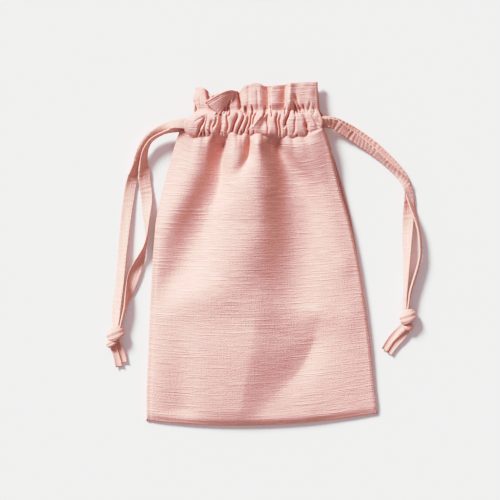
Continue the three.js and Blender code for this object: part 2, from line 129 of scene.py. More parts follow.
# Top edge of the heading, across the neck
TOP_EDGE = np.array([
    (-49, 110.5), (-47, 114.6), (-44, 116.4), (-40.5, 115.8), (-38.6, 114.6), (-37.2, 113.4),
    (-35.6, 110.4), (-33.8, 110.6), (-31.6, 111.6), (-28, 112.4), (-22.8, 113.7), (-19.3, 114),
    (-16.9, 113.4), (-15.4, 112.6), (-14.6, 113.8), (-13, 116), (-10.8, 117.4), (-7.4, 118.4),
    (-3.2, 119.2), (-0.4, 118.4), (2, 117), (6, 117), (10.2, 117.3), (15.8, 117.8), (20.4, 119.1),
    (21.4, 118.8), (25.6, 119.3), (33, 119.8), (39.9, 120.1),
])

# Creases and pleats of the neck: each runs straight from its upper to its lower end, with a reach to its left
# and right, a rise, which is negative in a crease, and a power: 2 is round, less is creased
NECK_LINES = np.array([
    (-38.5, 97, -48, 91, 0.8, 0.8, -0.8, 1.5), (-38.2, 98, -45.4, 80.5, 1.4, 0.8, -3.8, 1.5),
    (-37, 98.5, -41, 83, 0.9, 0.7, -2, 1.4), (-34.2, 95, -36.6, 81, 1, 0.8, -1.8, 1.5),
    (-30.8, 97, -33.8, 86, 0.9, 0.8, -1.8, 1.5), (-27, 100, -29, 80, 2.6, 1.6, -3.6, 1.8),
    (-24, 100.5, -23.6, 83, 1, 0.8, -2.2, 1.5), (-16, 100.5, -21.4, 81, 1.6, 0.9, -4, 1.5),
    (-11.8, 99.5, -17.2, 81.5, 1.1, 0.7, -3.4, 1.4), (-11.2, 103.5, -10.6, 95.5, 1, 1, -3.4, 1.6),
    (-8.2, 100.5, -12.8, 81, 1.1, 0.7, -3.2, 1.4), (-5.6, 100.5, -9.4, 85, 0.9, 0.6, -2.4, 1.4),
    (-3.2, 100, -7, 88, 0.9, 0.7, -2, 1.4), (6.5, 98.5, -2, 85.5, 2.6, 3.8, -1.9, 1.8),
    (4.6, 100.5, -8.2, 86.5, 1.6, 0.9, 0.9, 1.4), (4.2, 101, 4, 82.5, 0.8, 0.7, -2.4, 1.4),
    (10.9, 101, 10.6, 80.5, 1, 0.7, -3, 1.5), (12.8, 99, 13, 80.5, 1.3, 1, -3, 1.6),
    (20.8, 102.5, 15.4, 86.5, 1.3, 0.8, -3.8, 1.4), (17.2, 93, 18.6, 81, 1, 0.8, -1.8, 1.5),
    (23.4, 98.5, 22.4, 82, 0.9, 0.8, -1.4, 1.6), (27.5, 103, 32, 86.5, 1.2, 0.8, -2.8, 1.4),
    (30.8, 93, 33.4, 80, 1.6, 1.4, -2.8, 1.8), (31.5, 102, 44.5, 92, 0.9, 0.8, -2, 1.4),
    (34, 98.5, 40.6, 85.5, 0.8, 0.8, -1.6, 1.4), (37.6, 102, 44.6, 95, 0.7, 0.7, -1.6, 1.3),
    (36, 93.6, 43.8, 88, 0.8, 0.7, -1.2, 1.4), (-43.5, 110.5, -42.3, 100.5, 0.9, 0.9, -0.8, 1.6),
    (-38.6, 122, -35.4, 101, 1.4, 1, -6, 1.8), (-33.4, 118, -33, 103, 1.2, 1, -2, 1.8),
    (-20.8, 110, -24.8, 97, 1, 0.9, -3.4, 1.5), (-16.9, 116.5, -13.6, 98, 1.5, 0.8, -5, 1.5),
    (-7, 126, -6, 97, 7, 8.2, 1.4, 4), (-9.2, 122, -8.8, 97, 1.6, 1.6, -0.6, 2),
    (-3.2, 118, -2.4, 97, 1.4, 1.4, -0.7, 2), (5, 124, 4.8, 97, 4.4, 0.8, -4, 1.7),
    (7.6, 124, 7.2, 98, 1, 7.6, 3.2, 2.2), (16.6, 124, 16, 97, 4.2, 0.8, -3.2, 1.6),
    (18.6, 126, 18, 98, 1, 10, 2.6, 1.2), (20.2, 126, 19.6, 98, 1.6, 2.4, 2, 1.8),
    (38, 126, 38, 97, 9, 3, 1.4, 2), (22.6, 113, 28.6, 97, 1.6, 1, -2, 1.7),
    (22.2, 107, 25.2, 97, 1.1, 0.8, -2.2, 1.5), (28.8, 105, 31.2, 97, 1, 0.8, -2.2, 1.5),
    (33.8, 108, 32.2, 97, 1.2, 1, -1.3, 1.7), (35.6, 103.5, 38.4, 98, 0.8, 0.8, -1.8, 1.5),
])
CREASE_WIDTH, LINES_SQUARE = 0.74, 12
LINE_DRIFT, LINE_DRIFT_LESS, DRIFT_PITCH = 0.5, 0.4, 11
PINCHES, PINCH_POWER, PINCH_PLACES = 30, 1.4, (-43, 38)
CRUMPLES, CRUMPLE_POWER, CRUMPLE_ACROSS, CRUMPLE_ALONG = 18, 1.3, (36, 43), (86, 102)

# Corner of the heading that is folded over, from its left side, which is turned under, to its right side,
# which runs down into the heading: a place on its hemmed edge, and the place below on its lower edge
FLAP = np.array([
    (-37.2, 104.4, 13.6, -30.4, 98, 13.2), (-38.9, 105.7, 16.8, -29.3, 96.9, 14.8),
    (-31.8, 109.9, 20, -27, 100.4, 14.8), (-25.2, 113, 19.8, -23, 105.8, 14.8),
    (-21.4, 113.9, 17.4, -21.2, 107.4, 15), (-18.4, 113.4, 12.6, -19, 106.6, 12),
])
FLAP_BULGE, FLAP_LAYERS = 0.6, 1.2
FLAP_GROOVES, GROOVE_DEPTH, GROOVE_WIDTH = (1.5, 2.7), 0.35, 0.35

# Small gathers of the body next to the casing: crest at the stitches and at the end of a run below, reach to
# either side, and rise
GATHER_RUN, GATHER_DEPTH, GATHER_FADE = 20, 0.7, 8
GATHERS = np.array([
    (-52, -57, 6, 6, 1.5), (-43.5, -47, 3.5, 3, 1.8), (-35.5, -37.5, 3, 2.4, 2.6),
    (-20.5, -21.5, 3.4, 3.4, 2.8), (-10.8, -10.6, 2.6, 2.2, 2.4), (-2.6, -2, 3.4, 3.4, 3),
    (8.2, 9.5, 2.4, 2.4, 2.4), (17.6, 20, 2.2, 3.2, 2), (25.8, 29, 3.6, 3.6, 1.6),
    (36.5, 40, 4.5, 4.5, 1.6),
])

# Folds of the front below the casing. Each follows a line from its upper to its lower end, and at each stop
# has a reach to its left and right, a rise, which is negative in a valley, and a power: 2 is round, less is
# creased
FOLD_DEPTH, FOLD_STOPS, FOLDS_SQUARE = 2.1, 36, 8
FOLDS_BELOW, FOLDS_ABOVE = (-2, 7), (0, 10)
FOLDS = {
    "left shoulder": [
        (-40, 86, 8, 5, 0.6, 2), (-41, 74, 10, 7, 1.4, 2), (-45, 60, 12, 9, 2, 2), (-54, 42, 12, 10, 2, 2),
        (-65, 24, 12, 11, 1.6, 2), (-74, 8, 12, 11, 0, 2),
    ],
    "left valley": [
        (-25, 86, 6, 2.6, -2.8, 1.5), (-26.5, 76, 9, 3, -4.6, 1.5), (-28, 66, 12, 3.6, -5.4, 1.5),
        (-29.5, 50, 15, 6, -4.8, 1.6), (-36, 33, 17, 9, -3.9, 1.8), (-45.5, 13, 18, 13, -4.1, 2),
        (-56, -5, 16, 16, -3.6, 2), (-65, -19, 13, 13, -3, 2), (-70, -31, 11, 11, -1.6, 2),
        (-73, -42, 10, 10, 0, 2),
    ],
    "main ridge": [
        (-17, 86, 4, 5, 1.2, 2), (-17, 72, 6, 7, 2, 2), (-9.5, 56, 14, 8, 2.6, 2), (-3, 40, 20, 10, 3.2, 2),
        (-3, 22, 23, 14, 2.8, 2), (-8, 2, 24, 18, 1.5, 2), (-15, -20, 24, 22, 0, 2),
    ],
    "belly ridge": [
        (-12, 22, 16, 18, 0, 2), (-14, 4, 18, 20, 1.4, 2), (-18, -12, 19, 19, 2.2, 2),
        (-30, -24, 18, 17, 2.4, 2), (-46, -29, 15, 15, 1.8, 2), (-62, -29, 11, 13, 0.8, 2),
        (-72, -28, 8, 12, 0, 2),
    ],
    "short crease": [
        (-9, 86, 3, 2, -1.6, 1.5), (-8.8, 72, 3.4, 2.2, -2.6, 1.5), (-11, 64, 4, 3, -2, 1.6),
        (-16, 57, 5, 5, -1.2, 1.8), (-22, 50, 6, 7, 0, 2),
    ],
    "round ridge": [
        (-3.6, 90, 4, 4.4, 3.6, 2), (-2.4, 76, 4.6, 5, 3.2, 2), (0, 63, 6, 7, 2.2, 2),
        (1, 50, 8, 9, 0.9, 2), (2, 38, 10, 10, 0, 2),
    ],
    "middle valley": [
        (8, 87, 3.6, 5, -3, 1.5), (11, 75, 6, 5.4, -4, 1.6), (16, 63, 8, 9, -4.1, 1.9),
        (22.5, 49, 13, 12, -4.1, 2.3), (26.5, 34, 17, 16, -3.9, 2.4), (27.5, 18, 18, 18, -3.7, 2.3),
        (26.5, 0, 19, 19, -3.4, 2.2), (25, -18, 20, 18, -2.9, 2.1), (24, -34, 21, 18, -2.3, 1.9),
        (26, -48, 24, 16, -1.2, 1.7), (30, -60, 18, 14, 0, 1.9),
    ],
    "right block": [
        (15, 88, 2.4, 14, 1.6, 2), (18, 76, 2.8, 20, 1.6, 2), (24, 68, 3.4, 22, 1.6, 2),
        (31, 62, 4.4, 22, 1.2, 2), (38, 57, 6, 20, 0.6, 2), (48, 52, 8, 16, 0, 2),
    ],
    "lower dent": [
        (40, -40, 20, 14, 0, 1.6), (38.5, -50, 27, 15, -1.1, 1.4), (36.5, -60, 30, 16, -2, 1.3),
        (33, -70, 30, 16, -2.2, 1.3), (28, -79, 28, 15, -2, 1.3), (20, -88, 22, 14, -1.4, 1.4),
        (10.5, -97, 18, 13, -1.1, 1.5), (1, -106, 15, 12, -0.8, 1.6), (-6, -116, 12, 12, 0, 2),
    ],
    "dent edge": [
        (39, -44, 8, 9, 0, 1.8), (37.6, -53, 12, 11, -0.9, 1.7), (35.6, -62, 14, 12, -1.3, 1.6),
        (32, -71, 14, 12, -1.4, 1.6), (26, -80, 13, 12, -1.1, 1.7), (17, -89, 11, 11, -0.6, 1.8),
        (7, -97, 9, 9, 0, 2),
    ],
    "middle crease": [
        (2, -16, 14, 14, 0, 1.4), (-3, -32, 26, 18, 1.5, 1.9), (-5.5, -48, 38, 18, 2.4, 1.7),
        (-7.5, -66, 44, 18, 2.8, 1.6), (-10.5, -84, 42, 16, 2.3, 1.5), (-13.5, -102, 36, 14, 1.7, 1.4),
        (-16, -118, 24, 12, 0.8, 1.4),
    ],
    "left dent": [
        (-60, -36, 14, 10, 0, 2), (-58, -60, 14, 10, -0.6, 2), (-56, -90, 14, 10, -1.1, 2),
        (-55, -118, 13, 10, -1.4, 2),
    ],
    "right spot": [
        (61, 6, 6, 5, 0, 2), (60.5, -5.5, 7, 5, 0.7, 2), (62, -16, 7, 5, 0, 2),
    ],
    "lower right spot": [
        (66, -24, 8, 5, 0, 2), (67.5, -40, 9, 5, 0.7, 2), (69, -54, 8, 5, 0, 2),
    ],
}

# Sides of the back at places along the bag, and the height of its side seam
BACK_SIDES = np.array([
    (-120, -79.4, 79.4), (-72, -78, 75.8), (16, -73, 63.2), (66, -60, 50), (82.5, -54.8, 43.6),
    (92, -53.6, 44.4), (99, -47.6, 40.8), (117, -47, 39.2),
])
BACK_SEAM = np.array([(-120, 0.2), (16, 0.5), (66, 2.6), (82.5, 4.4), (104, 4.4), (117, 3.6)])
BACK_LONG, BACK_INSET, BACK_TOP_INSET, BACK_CLEAR = 237, 1.4, 1.6, 0.06
PLEATS, PLEAT_HEIGHT, ROW_HEIGHT, BACK_NECK = 8, 1.5, 0.35, (58, 84)

# Hems inside the mouth: the front one lies under the tape and below the heading, the back one over the back
# and the tape
HEM_UNDER, HEM_CROWN, HEM_BELOW = 9.2, 1.0, 1.7
HEM_OVER, HEM_CHANNEL, HEM_SQUARE, HEM_UNEVEN = 1.15, 4.2, 2.6, 0.5
FRONT_HEM_ACROSS, FRONT_HEM_ALONG = (0.04, 0.96), (0.15, 1.97)
BACK_HEM_ACROSS, BACK_HEM_ALONG = (0.05, 0.95), (0.875, 0.998)
CHANNEL_MIDDLE, CHANNEL_HALF = 91.5, 8.5

# Slub lines that stand up: steps, place and reach of the strong ones, and their height
RIPPLE_STEPS, RIPPLE_PLACE, RIPPLE_REACH = (0.56, 0.37), (30, 50), (26, 20)
RIPPLE_LEAST, RIPPLE_MORE, RIPPLE_BELOW = 0.01, 0.04, (0, 6)

# Shape of the tape: its width in metres, its section, the stitches along one edge, and its puckers
TAPE_WIDTH = 0.0084
TAPE_SQUARE, GROOVE_INTO, GROOVE_SPREAD = 10, 0.5, 0.12
STITCHED_EDGE, STITCHED_SHARE, STITCH_STEP, STITCH_LOOK = 0.7, 0.8, 1.3, 0.3
STITCH_RINGS, STITCH_SIDES = 7, 6
PUCKER_PITCH, PUCKER_DRIFT, PUCKER_LEAN = 2.3, 2.2, 0.9

# Routes of the free strands from the casing through the knot to the cut end: middle, turn of the tape's width
# out of level, width, how far its edges stand up, and height of its puckers; a turn over 0 raises the edge on
# the left of the run
STRANDS = {
    "left_outer": [
        (-51.5, 91.1, 12.4, 0, 7.6, 0.2, 0.1), (-55, 91.1, 12.6, 8, 7.4, 0.2, 0.1),
        (-58.8, 90.8, 12.8, 22, 6.8, 0.2, 0.1), (-62.6, 90.3, 12.8, 24, 6.2, 0, 0.14),
        (-67.5, 88.6, 11.8, -4, 5.6, -0.4, 0.2), (-73.1, 85.7, 10.8, -40, 6.4, -1.2, 0.24),
        (-77.7, 82.2, 9.8, -58, 7.6, -1.5, 0.24), (-81.2, 78, 8.8, -58, 7.6, -1.5, 0.24),
        (-84.1, 73.1, 7.8, -60, 7.6, -1.4, 0.24), (-86.1, 68.2, 6.8, -62, 7.6, -1.2, 0.2),
        (-87.5, 63.3, 5.8, -60, 7.6, -0.8, 0.16), (-88.8, 58.7, 5, -48, 7.8, -0.2, 0.16),
        (-90.2, 53.8, 3.4, -24, 7.8, 0.5, 0.24), (-91.7, 47.2, 1.9, -6, 7.8, 0.5, 0.16),
        (-92.9, 39.5, 1.5, 4, 7.8, 0.5, 0.1), (-94.5, 27.6, 1.9, 14, 7.8, 0.5, 0.1),
        (-96, 13.6, 2.4, 22, 7.6, 0.5, 0.1), (-97.5, -3.9, 3, 34, 7.4, 0.5, 0.1),
        (-99, -21.4, 3.1, 38, 7.4, 0.5, 0.1), (-100.9, -35.4, 3.1, 36, 7.4, 0.5, 0.14),
        (-101.5, -44.5, 3.6, 42, 7, 0.6, 0.14), (-101.6, -50.1, 4.6, 50, 5.8, 0.7, 0.05),
        (-102.6, -57.1, 4.8, 50, 4.8, 0.8, 0), (-103.5, -62.7, 3.8, 30, 4.4, 1, 0),
        (-102.2, -67.6, 2.6, 20, 4.6, 1.2, 0), (-100.8, -73.2, 2, 10, 4.8, 1.3, 0),
        (-99.7, -78.6, 1.9, 0, 4.8, 1.3, 0),
    ],
    "left_inner": [
        (-51.5, 90.4, 9.2, 0, 7.6, 0.2, 0.1), (-55, 89.2, 9.6, -25, 7.8, 0.3, 0.1),
        (-59.8, 87.2, 9.8, -64, 8, 0.4, 0.06), (-66.8, 85.3, 9, -80, 8.2, 0.4, 0.06),
        (-72.4, 82.9, 8.2, -80, 8.2, 0.4, 0.06), (-77.3, 79.4, 7.6, -77, 8.2, 0.4, 0.06),
        (-80, 75.5, 6.8, -72, 8.2, 0.4, 0.1), (-81.5, 71.7, 6.2, -64, 8.2, 0.5, 0.1),
        (-82.4, 66.8, 5.4, -56, 8.2, 0.6, 0.1), (-82.4, 61.9, 4.6, -44, 8.2, 0.6, 0.14),
        (-82, 57, 3.6, -22, 8.4, 0.5, 0.18), (-81.8, 51.4, 2.2, -6, 8.4, 0.4, 0.18),
        (-80.8, 44.4, 1.6, 2, 8.4, 0.5, 0.24), (-80.1, 37.4, 2, 18, 8, 0.5, 0.14),
        (-80.1, 28.3, 3.2, 46, 7.8, 0.5, 0.1), (-80, 18.5, 4.2, 72, 7.6, 0.6, 0.06),
        (-80.4, 10.8, 4.5, 88, 7.6, 0.7, 0.06), (-81.8, 4.5, 4.5, 104, 7.6, 0.2, 0.06),
        (-83.9, -1.1, 4.3, 128, 7.8, -0.8, 0.06), (-86.4, -6.7, 3.6, 148, 8.2, -1.5, 0.08),
        (-88.7, -12.3, 3, 160, 8.6, -1.8, 0.08), (-90.6, -17.9, 3, 158, 8.4, -1.8, 0.08),
        (-92.2, -24.2, 3.6, 142, 8, -1.5, 0.06), (-93.8, -30.5, 4.2, 120, 7.8, -1, 0.06),
        (-95.2, -36.8, 4.5, 102, 7.4, -0.6, 0.06), (-97, -43.8, 4.8, 96, 6.8, -0.4, 0.05),
        (-98.6, -50.1, 5.2, 90, 5.6, 0, 0), (-100.4, -56.4, 5, 60, 4.8, 0.8, 0),
        (-100.6, -61.3, 4.2, 30, 4.4, 1, 0), (-98.7, -66.2, 2.8, 10, 4.6, 1.2, 0),
        (-97.3, -71.1, 2, 0, 4.6, 1.2, 0), (-96.3, -75.8, 1.9, 0, 4.6, 1.2, 0),
    ],
    "right_outer": [
        (36, 92, 8.8, 0, 7.6, 0.2, 0.2), (41, 92.6, 8.8, 0, 7.6, 0.2, 0.2),
        (45.2, 92.6, 8.6, 0, 7.6, 0.3, 0.3), (51.4, 91.8, 7.4, 2, 7.6, 0.4, 0.3),
        (56.4, 89.5, 5.6, 6, 7.8, 0.5, 0.22), (62.4, 86.5, 3.8, 10, 7.8, 0.5, 0.24),
        (70.6, 81.4, 2.6, 18, 7.8, 0.5, 0.26), (78.3, 75.8, 2.5, 22, 7.8, 0.5, 0.26),
        (85.2, 69.6, 2.5, 22, 7.6, 0.5, 0.26), (92.6, 61.9, 2.4, 18, 7.4, 0.5, 0.24),
        (97.6, 55.4, 2.2, 4, 7, 0.6, 0.16), (100.6, 50.3, 2.4, -16, 6.6, 0.7, 0.2),
        (102.4, 45.2, 2.6, -30, 6.8, 0.7, 0.16), (103.9, 39, 3, -44, 7.2, 0.6, 0.12),
        (105.6, 32, 3.8, -60, 7.4, 0.6, 0.1), (107.6, 25.2, 4.3, -72, 7.6, 0.7, 0.1),
        (109.8, 16.4, 4.4, -76, 7.6, 0.8, 0.1), (110.9, 6.6, 4.4, -76, 7.6, 0.8, 0.1),
        (111, -0.4, 4.4, -76, 7.6, 0.8, 0.1), (109.6, -7.4, 4.4, -76, 7.6, 0.8, 0.1),
        (107.1, -15.8, 4.4, -77, 7.4, 0.8, 0.08), (104.1, -25.6, 4.5, -80, 7.2, 0.7, 0.06),
        (102.6, -34.7, 4.8, -84, 6.6, 0.6, 0.04), (102, -40.3, 5, -80, 5.6, 0.6, 0),
        (102.2, -46.4, 4.8, -60, 4.8, 0.8, 0), (101.6, -52.2, 4.2, -40, 4.6, 1, 0),
        (98, -57.4, 3, -20, 4.8, 1.2, 0), (93.8, -62, 2.1, -10, 5, 1.3, 0),
        (90.6, -65.9, 1.9, -6, 5, 1.3, 0), (88.6, -69, 1.9, -4, 5, 1.3, 0),
    ],
    "right_inner": [
        (36, 91.8, 9.8, 30, 8.2, 0.2, 0.2), (41, 91.9, 9.8, 36, 8.4, 0.2, 0.3),
        (45.2, 91.8, 9.8, 38, 8.4, 0.3, 0.4), (50.8, 90.8, 9, 30, 8.2, 0.4, 0.4),
        (56.8, 87, 7.6, 28, 7.8, 0.4, 0.42), (62.9, 83, 6, 28, 7.6, 0.4, 0.4),
        (69.1, 78.8, 5.2, 34, 7.6, 0.4, 0.36), (75.2, 74.4, 5, 44, 7.6, 0.4, 0.3),
        (81.4, 69.3, 5, 54, 7.6, 0.4, 0.26), (87.2, 64.3, 5, 58, 7.4, 0.5, 0.24),
        (92.7, 59.3, 4.8, 56, 7, 0.6, 0.24), (97.2, 54.7, 4.4, 42, 6.4, 0.6, 0.2),
        (100.3, 50, 4, 8, 6, 0.6, 0.24), (102.2, 45, 3.8, -26, 6.8, 0.5, 0.18),
        (102.9, 39, 3.6, -24, 7.8, 0.4, 0.12), (102.8, 31.1, 2.6, -6, 8, 0.4, 0.2),
        (102.4, 21.3, 2.4, 16, 8, 0.4, 0.12), (101.9, 11.5, 2.8, 34, 8, 0.4, 0.1),
        (101.8, 1.7, 3.4, 48, 7.8, 0.5, 0.08), (101.4, -9.5, 3.9, 60, 7.6, 0.5, 0.08),
        (101.1, -20.7, 4.2, 73, 7.4, 0.6, 0.06), (100.5, -30.5, 4.6, 77, 7, 0.6, 0.06),
        (100.3, -38, 5, 70, 5.8, 0.6, 0), (100.4, -44.5, 4.8, 50, 4.8, 0.8, 0),
        (99, -49.8, 4.2, 30, 4.6, 1, 0), (95.2, -54, 2.8, 20, 4.8, 1.2, 0), (91.3, -58.4, 2, 10, 5, 1.3, 0),
        (88.1, -63.1, 1.9, 6, 5, 1.3, 0), (85.9, -66.8, 1.9, 4, 5, 1.3, 0),
    ],
}

# Stretches of the drawstrings inside the casing: along the front channel, round its far end and back behind,
# all with the same turn, width, cup and pucker
CHANNEL_TAPE, CHANNEL_SEED = (0.0, 7.4, 0.0, 0.1), 9
CHANNELS = {
    "left": [
        (-51, 91, 11.2), (-30, 91.2, 11.2), (0, 91.4, 11.2), (26, 91.6, 10.6), (33, 91.7, 9.4),
        (35, 91.7, 7.4), (33, 91.7, 5.4), (26, 91.6, 4.4), (0, 91.2, 3.6), (-30, 90.8, 4.2),
        (-45, 90.5, 6.6), (-51, 90.4, 8.6),
    ],
    "right": [
        (37, 91.8, 9.8), (26, 91.7, 10), (0, 91.5, 10.2), (-34, 91.2, 9.8), (-41, 91.2, 8.8),
        (-43, 91.2, 7.2), (-41, 91.2, 5.8), (-34, 91.3, 5.2), (0, 91.6, 5), (26, 92, 6), (37, 92.2, 7.8),
    ],
}

# Points across and along each surface
FRONT_GRID, NECK_GRID, FLAP_GRID = (200, 200), (400, 44, 44), (80, 40)
FRONT_HEM_GRID, BACK_GRID, BACK_HEM_GRID = (220, 50), (190, 170), (120, 40)
STRAND_STOPS, CHANNEL_STOPS, TAPE_SIDES, BAND_GRID = 210, 120, 14, (56, 21)

# Layers of the weave on the cloth's map: how often each repeats in a metre, and the limits of its noise. Then
# how much of each comes on top of the yarns in the relief and in the shade, and how the shade colours them
WEAVE = {
    "yarns": ((90, 1200, 1), 0.32, 0.7), "slubs": ((22, 850, 1), 0.54, 0.68),
    "warp": ((1100, 60, 1), 0.3, 0.7), "grain": ((1100, 1300, 1), 0.3, 0.7),
}
RELIEF, RELIEF_STRENGTH, RELIEF_DEPTH = {"slubs": 1.6, "warp": 0.45, "grain": 1.2}, 0.6, 0.0003
SHADE, SHADE_TOP = {"slubs": 0.75, "grain": 0.7}, 1.6
DARKER, LIGHTER = (0.10, 0.19, 0.19), (0.04, 0.10, 0.10)

# Stage, in metres and degrees
CAMERA_PLACE, PICTURE_WIDTH, SENSOR = (-0.00805, 0.0031, 2.0), 0.35, 36.0
SUN_TILT, SUN_HEADING, SUN_SPREAD, SUN_ENERGY = 55, 222, 16, 3.88
SKY_STRENGTH, FLOOR_HALF, FLOOR_GLOW = 0.32, 3.0, 0.08

# Tone curves of the picture: a soft toe, strong middle tones and a long shoulder, then the warmth of the
# shadows
TONES_END = (1.0, 0.955)
TONES = (
    (0.1, 0.08), (0.2, 0.2), (0.27, 0.3), (0.35, 0.425), (0.434, 0.558), (0.48, 0.62),
    (0.55, 0.707), (0.62, 0.775), (0.7, 0.82), (0.775, 0.857), (0.9, 0.912),
)
RED_TONES = (
    (0.1, 0.13), (0.2, 0.25), (0.3, 0.356), (0.344, 0.4), (0.424, 0.463), (0.468, 0.489),
    (0.54, 0.534), (0.622, 0.607), (0.702, 0.686), (0.767, 0.764), (0.9, 0.9),
)
BLUE_TONES = (
    (0.144, 0.135), (0.182, 0.171), (0.219, 0.2165), (0.258, 0.27), (0.302, 0.312), (0.359, 0.373),
    (0.403, 0.408), (0.435, 0.438), (0.51, 0.504), (0.62, 0.617), (0.75, 0.75),
)

# Wrapped bands of the knots: middle, turn about the upright, half width across, half height, width along the
# strands, slant of the band, and how far its upper and its lower edge tuck in
BAND_CLEAR, BAND_WAVE, BAND_NARROW = 0.15, 0.035, 0.2
BAND_COLUMNS = ("x", "y", "z", "turn", "across", "up", "wide", "slant", "tuck_high", "tuck_low")
KNOTS = {
    "left_knot": [
        (-102.2, -55.2, 4.9, 0.42, 6.6, 4.7, 9.6, 0.6, 0.42, 0.16),
        (-104, -61, 3.9, 0.52, 5.2, 3.7, 5.4, 0.4, 0.30, 0.14),
    ],
    "right_knot": [
        (101.9, -43.2, 4.9, 0.36, 5.9, 4.7, 9.6, 0.6, 0.44, 0.12),
        (102.4, -50.4, 3.5, -0.60, 3.8, 3.2, 6.4, 0.4, 0.30, 0.40),
    ],
}


def monotone(at, known, values):
    """Cubic through the table's rows with no overshoot: its slope at a row is the harmonic mean beside it."""
    gaps = np.diff(known)
    slopes = np.diff(values) / gaps
    before, after = slopes[:-1], slopes[1:]
    same = before * after > 0
    tangents = np.concatenate([slopes[:1], np.zeros(len(before)), slopes[-1:]])
    tangents[1:-1][same] = (2 * before * after)[same] / (before + after)[same]
    at = np.clip(at, known[0], known[-1])
    i = np.clip(np.searchsorted(known, at, side="right") - 1, 0, len(known) - 2)
    t = (at - known[i]) / gaps[i]
    ease = t * t * (3 - 2 * t)
    lean = t * (1 - t) * gaps[i] * ((1 - t) * tangents[i] - t * tangents[i + 1])
    return values[i] + (values[i + 1] - values[i]) * ease + lean


def distance(line):
    """Distance along a line of points, at each of them."""
    return np.concatenate([[0], np.cumsum(np.linalg.norm(np.diff(line[:, :3], axis=0), axis=1))])


def between(at, along, line):
    """Places between the points of a line, at distances along it."""
    return np.stack([np.interp(at, along, column) for column in line.T], axis=1)


def unit(vectors):
    """The vectors at a length of 1."""
    return vectors / np.linalg.norm(vectors, axis=1)[:, None]


def flowing(table, count):
    """The table's rows as a smooth line of count points, even along its first three columns.

    The line is a Catmull-Rom curve whose stops lie apart by the square roots of the steps between the rows.
    """
    steps = np.linalg.norm(np.diff(table[:, :3], axis=0), axis=1)
    along = np.concatenate([[0], np.cumsum(np.maximum(steps, 1e-6) ** 0.5)])
    slopes = np.diff(table, axis=0) / np.diff(along)[:, None]
    gaps = np.diff(along)[:, None]
    tangents = np.concatenate([slopes[:1], slopes[1:], slopes[-1:]])
    tangents[1:-1] = (slopes[:-1] * gaps[1:] + slopes[1:] * gaps[:-1]) / (gaps[:-1] + gaps[1:])
    fine = np.linspace(0, along[-1], 12 * count)
    i = np.clip(np.searchsorted(along, fine, side="right") - 1, 0, len(along) - 2)
    t = ((fine - along[i]) / gaps[i, 0])[:, None]
    span = gaps[i]
    line = (table[i] * (1 + 2 * t) * (1 - t) ** 2 + table[i + 1] * t * t * (3 - 2 * t)
            + span * tangents[i] * t * (1 - t) ** 2 - span * tangents[i + 1] * t * t * (1 - t))
    walked = distance(line)
    return between(np.linspace(0, walked[-1], count), walked, line)


def smooth(low, high, value):
    """Eased step from 0 at low to 1 at high."""
    t = np.clip((value - low) / (high - low), 0, 1)
    return t * t * (3 - 2 * t)


def wander(a, b, seed, waves=14, low=0.5, high=1.6):
    """Smooth noise, mostly within 1.5 of zero: a sum of sine waves with seeded pitches and directions."""
    draw = np.random.default_rng(seed)
    total = np.zeros(np.broadcast(a, b).shape)
    for _ in range(waves):
        pitch = draw.uniform(low, high)
        heading = draw.uniform(0, 2 * math.pi)
        phase = draw.uniform(0, 2 * math.pi)
        total = total + np.sin(2 * math.pi * pitch * (a * math.cos(heading) + b * math.sin(heading)) + phase)
    return total / math.sqrt(waves)


def looked_up(table, names, name, at):
    """One named column of a table, at values of its first column."""
    return monotone(at, table[:, 0], table[:, names.index(name)])


def section(name, at):
    """One column of the cross sections at stations along the bag."""
    return looked_up(SECTIONS, SECTION_COLUMNS, name, at)


def casing_row(name, x):
    """Place along the bag of a row of stitches, at places across the neck."""
    return looked_up(CASING_ROWS, ROW_COLUMNS, name, x)


def gathers(x, below):
    """Rise of the body's gathers, at places across the neck and distances below the casing.

    Each gather is a rounded ridge, (1 - (distance / reach) ** 2) ** 0.8, and the highest one holds.
    """
    rise = np.zeros(x.shape)
    for top, low, left, right, height in GATHERS:
        away = x - top - (low - top) * below / GATHER_RUN
        reach = np.abs(away) / np.where(away < 0, left, right)
        rise = np.maximum(rise, height * np.clip(1 - reach ** 2, 0, None) ** 0.8)
    return rise


def pinches():
    """Short creases across the two rows of stitches and at the casing's right end, at seeded places."""
    draw = np.random.default_rng(17)
    x = draw.uniform(*PINCH_PLACES, PINCHES)
    row = np.where(np.arange(PINCHES) % 3 > 0, casing_row("high", x), casing_row("low", x))
    lean = draw.uniform(-2, 2, PINCHES)
    up, down = draw.uniform(2.5, 6, (2, PINCHES))
    reach = draw.uniform(0.45, 0.8, PINCHES)
    rise = draw.uniform(-3.2, -1.4, PINCHES)
    power = np.full(PINCHES, PINCH_POWER)
    rows = np.stack([x + lean, row + up, x - lean, row - down, reach, reach, rise, power], axis=1)
    x = draw.uniform(*CRUMPLE_ACROSS, CRUMPLES)
    y = draw.uniform(*CRUMPLE_ALONG, CRUMPLES)
    lean, fall = draw.uniform(1, 4, CRUMPLES), draw.uniform(1, 3, CRUMPLES)
    reach = draw.uniform(0.4, 0.7, CRUMPLES)
    rise = draw.uniform(-1.6, 1.0, CRUMPLES)
    power = np.full(CRUMPLES, CRUMPLE_POWER)
    ends = np.stack([x - lean, y + fall, x + lean, y - fall, reach, reach, rise, power], axis=1)
    return np.concatenate([rows, ends])


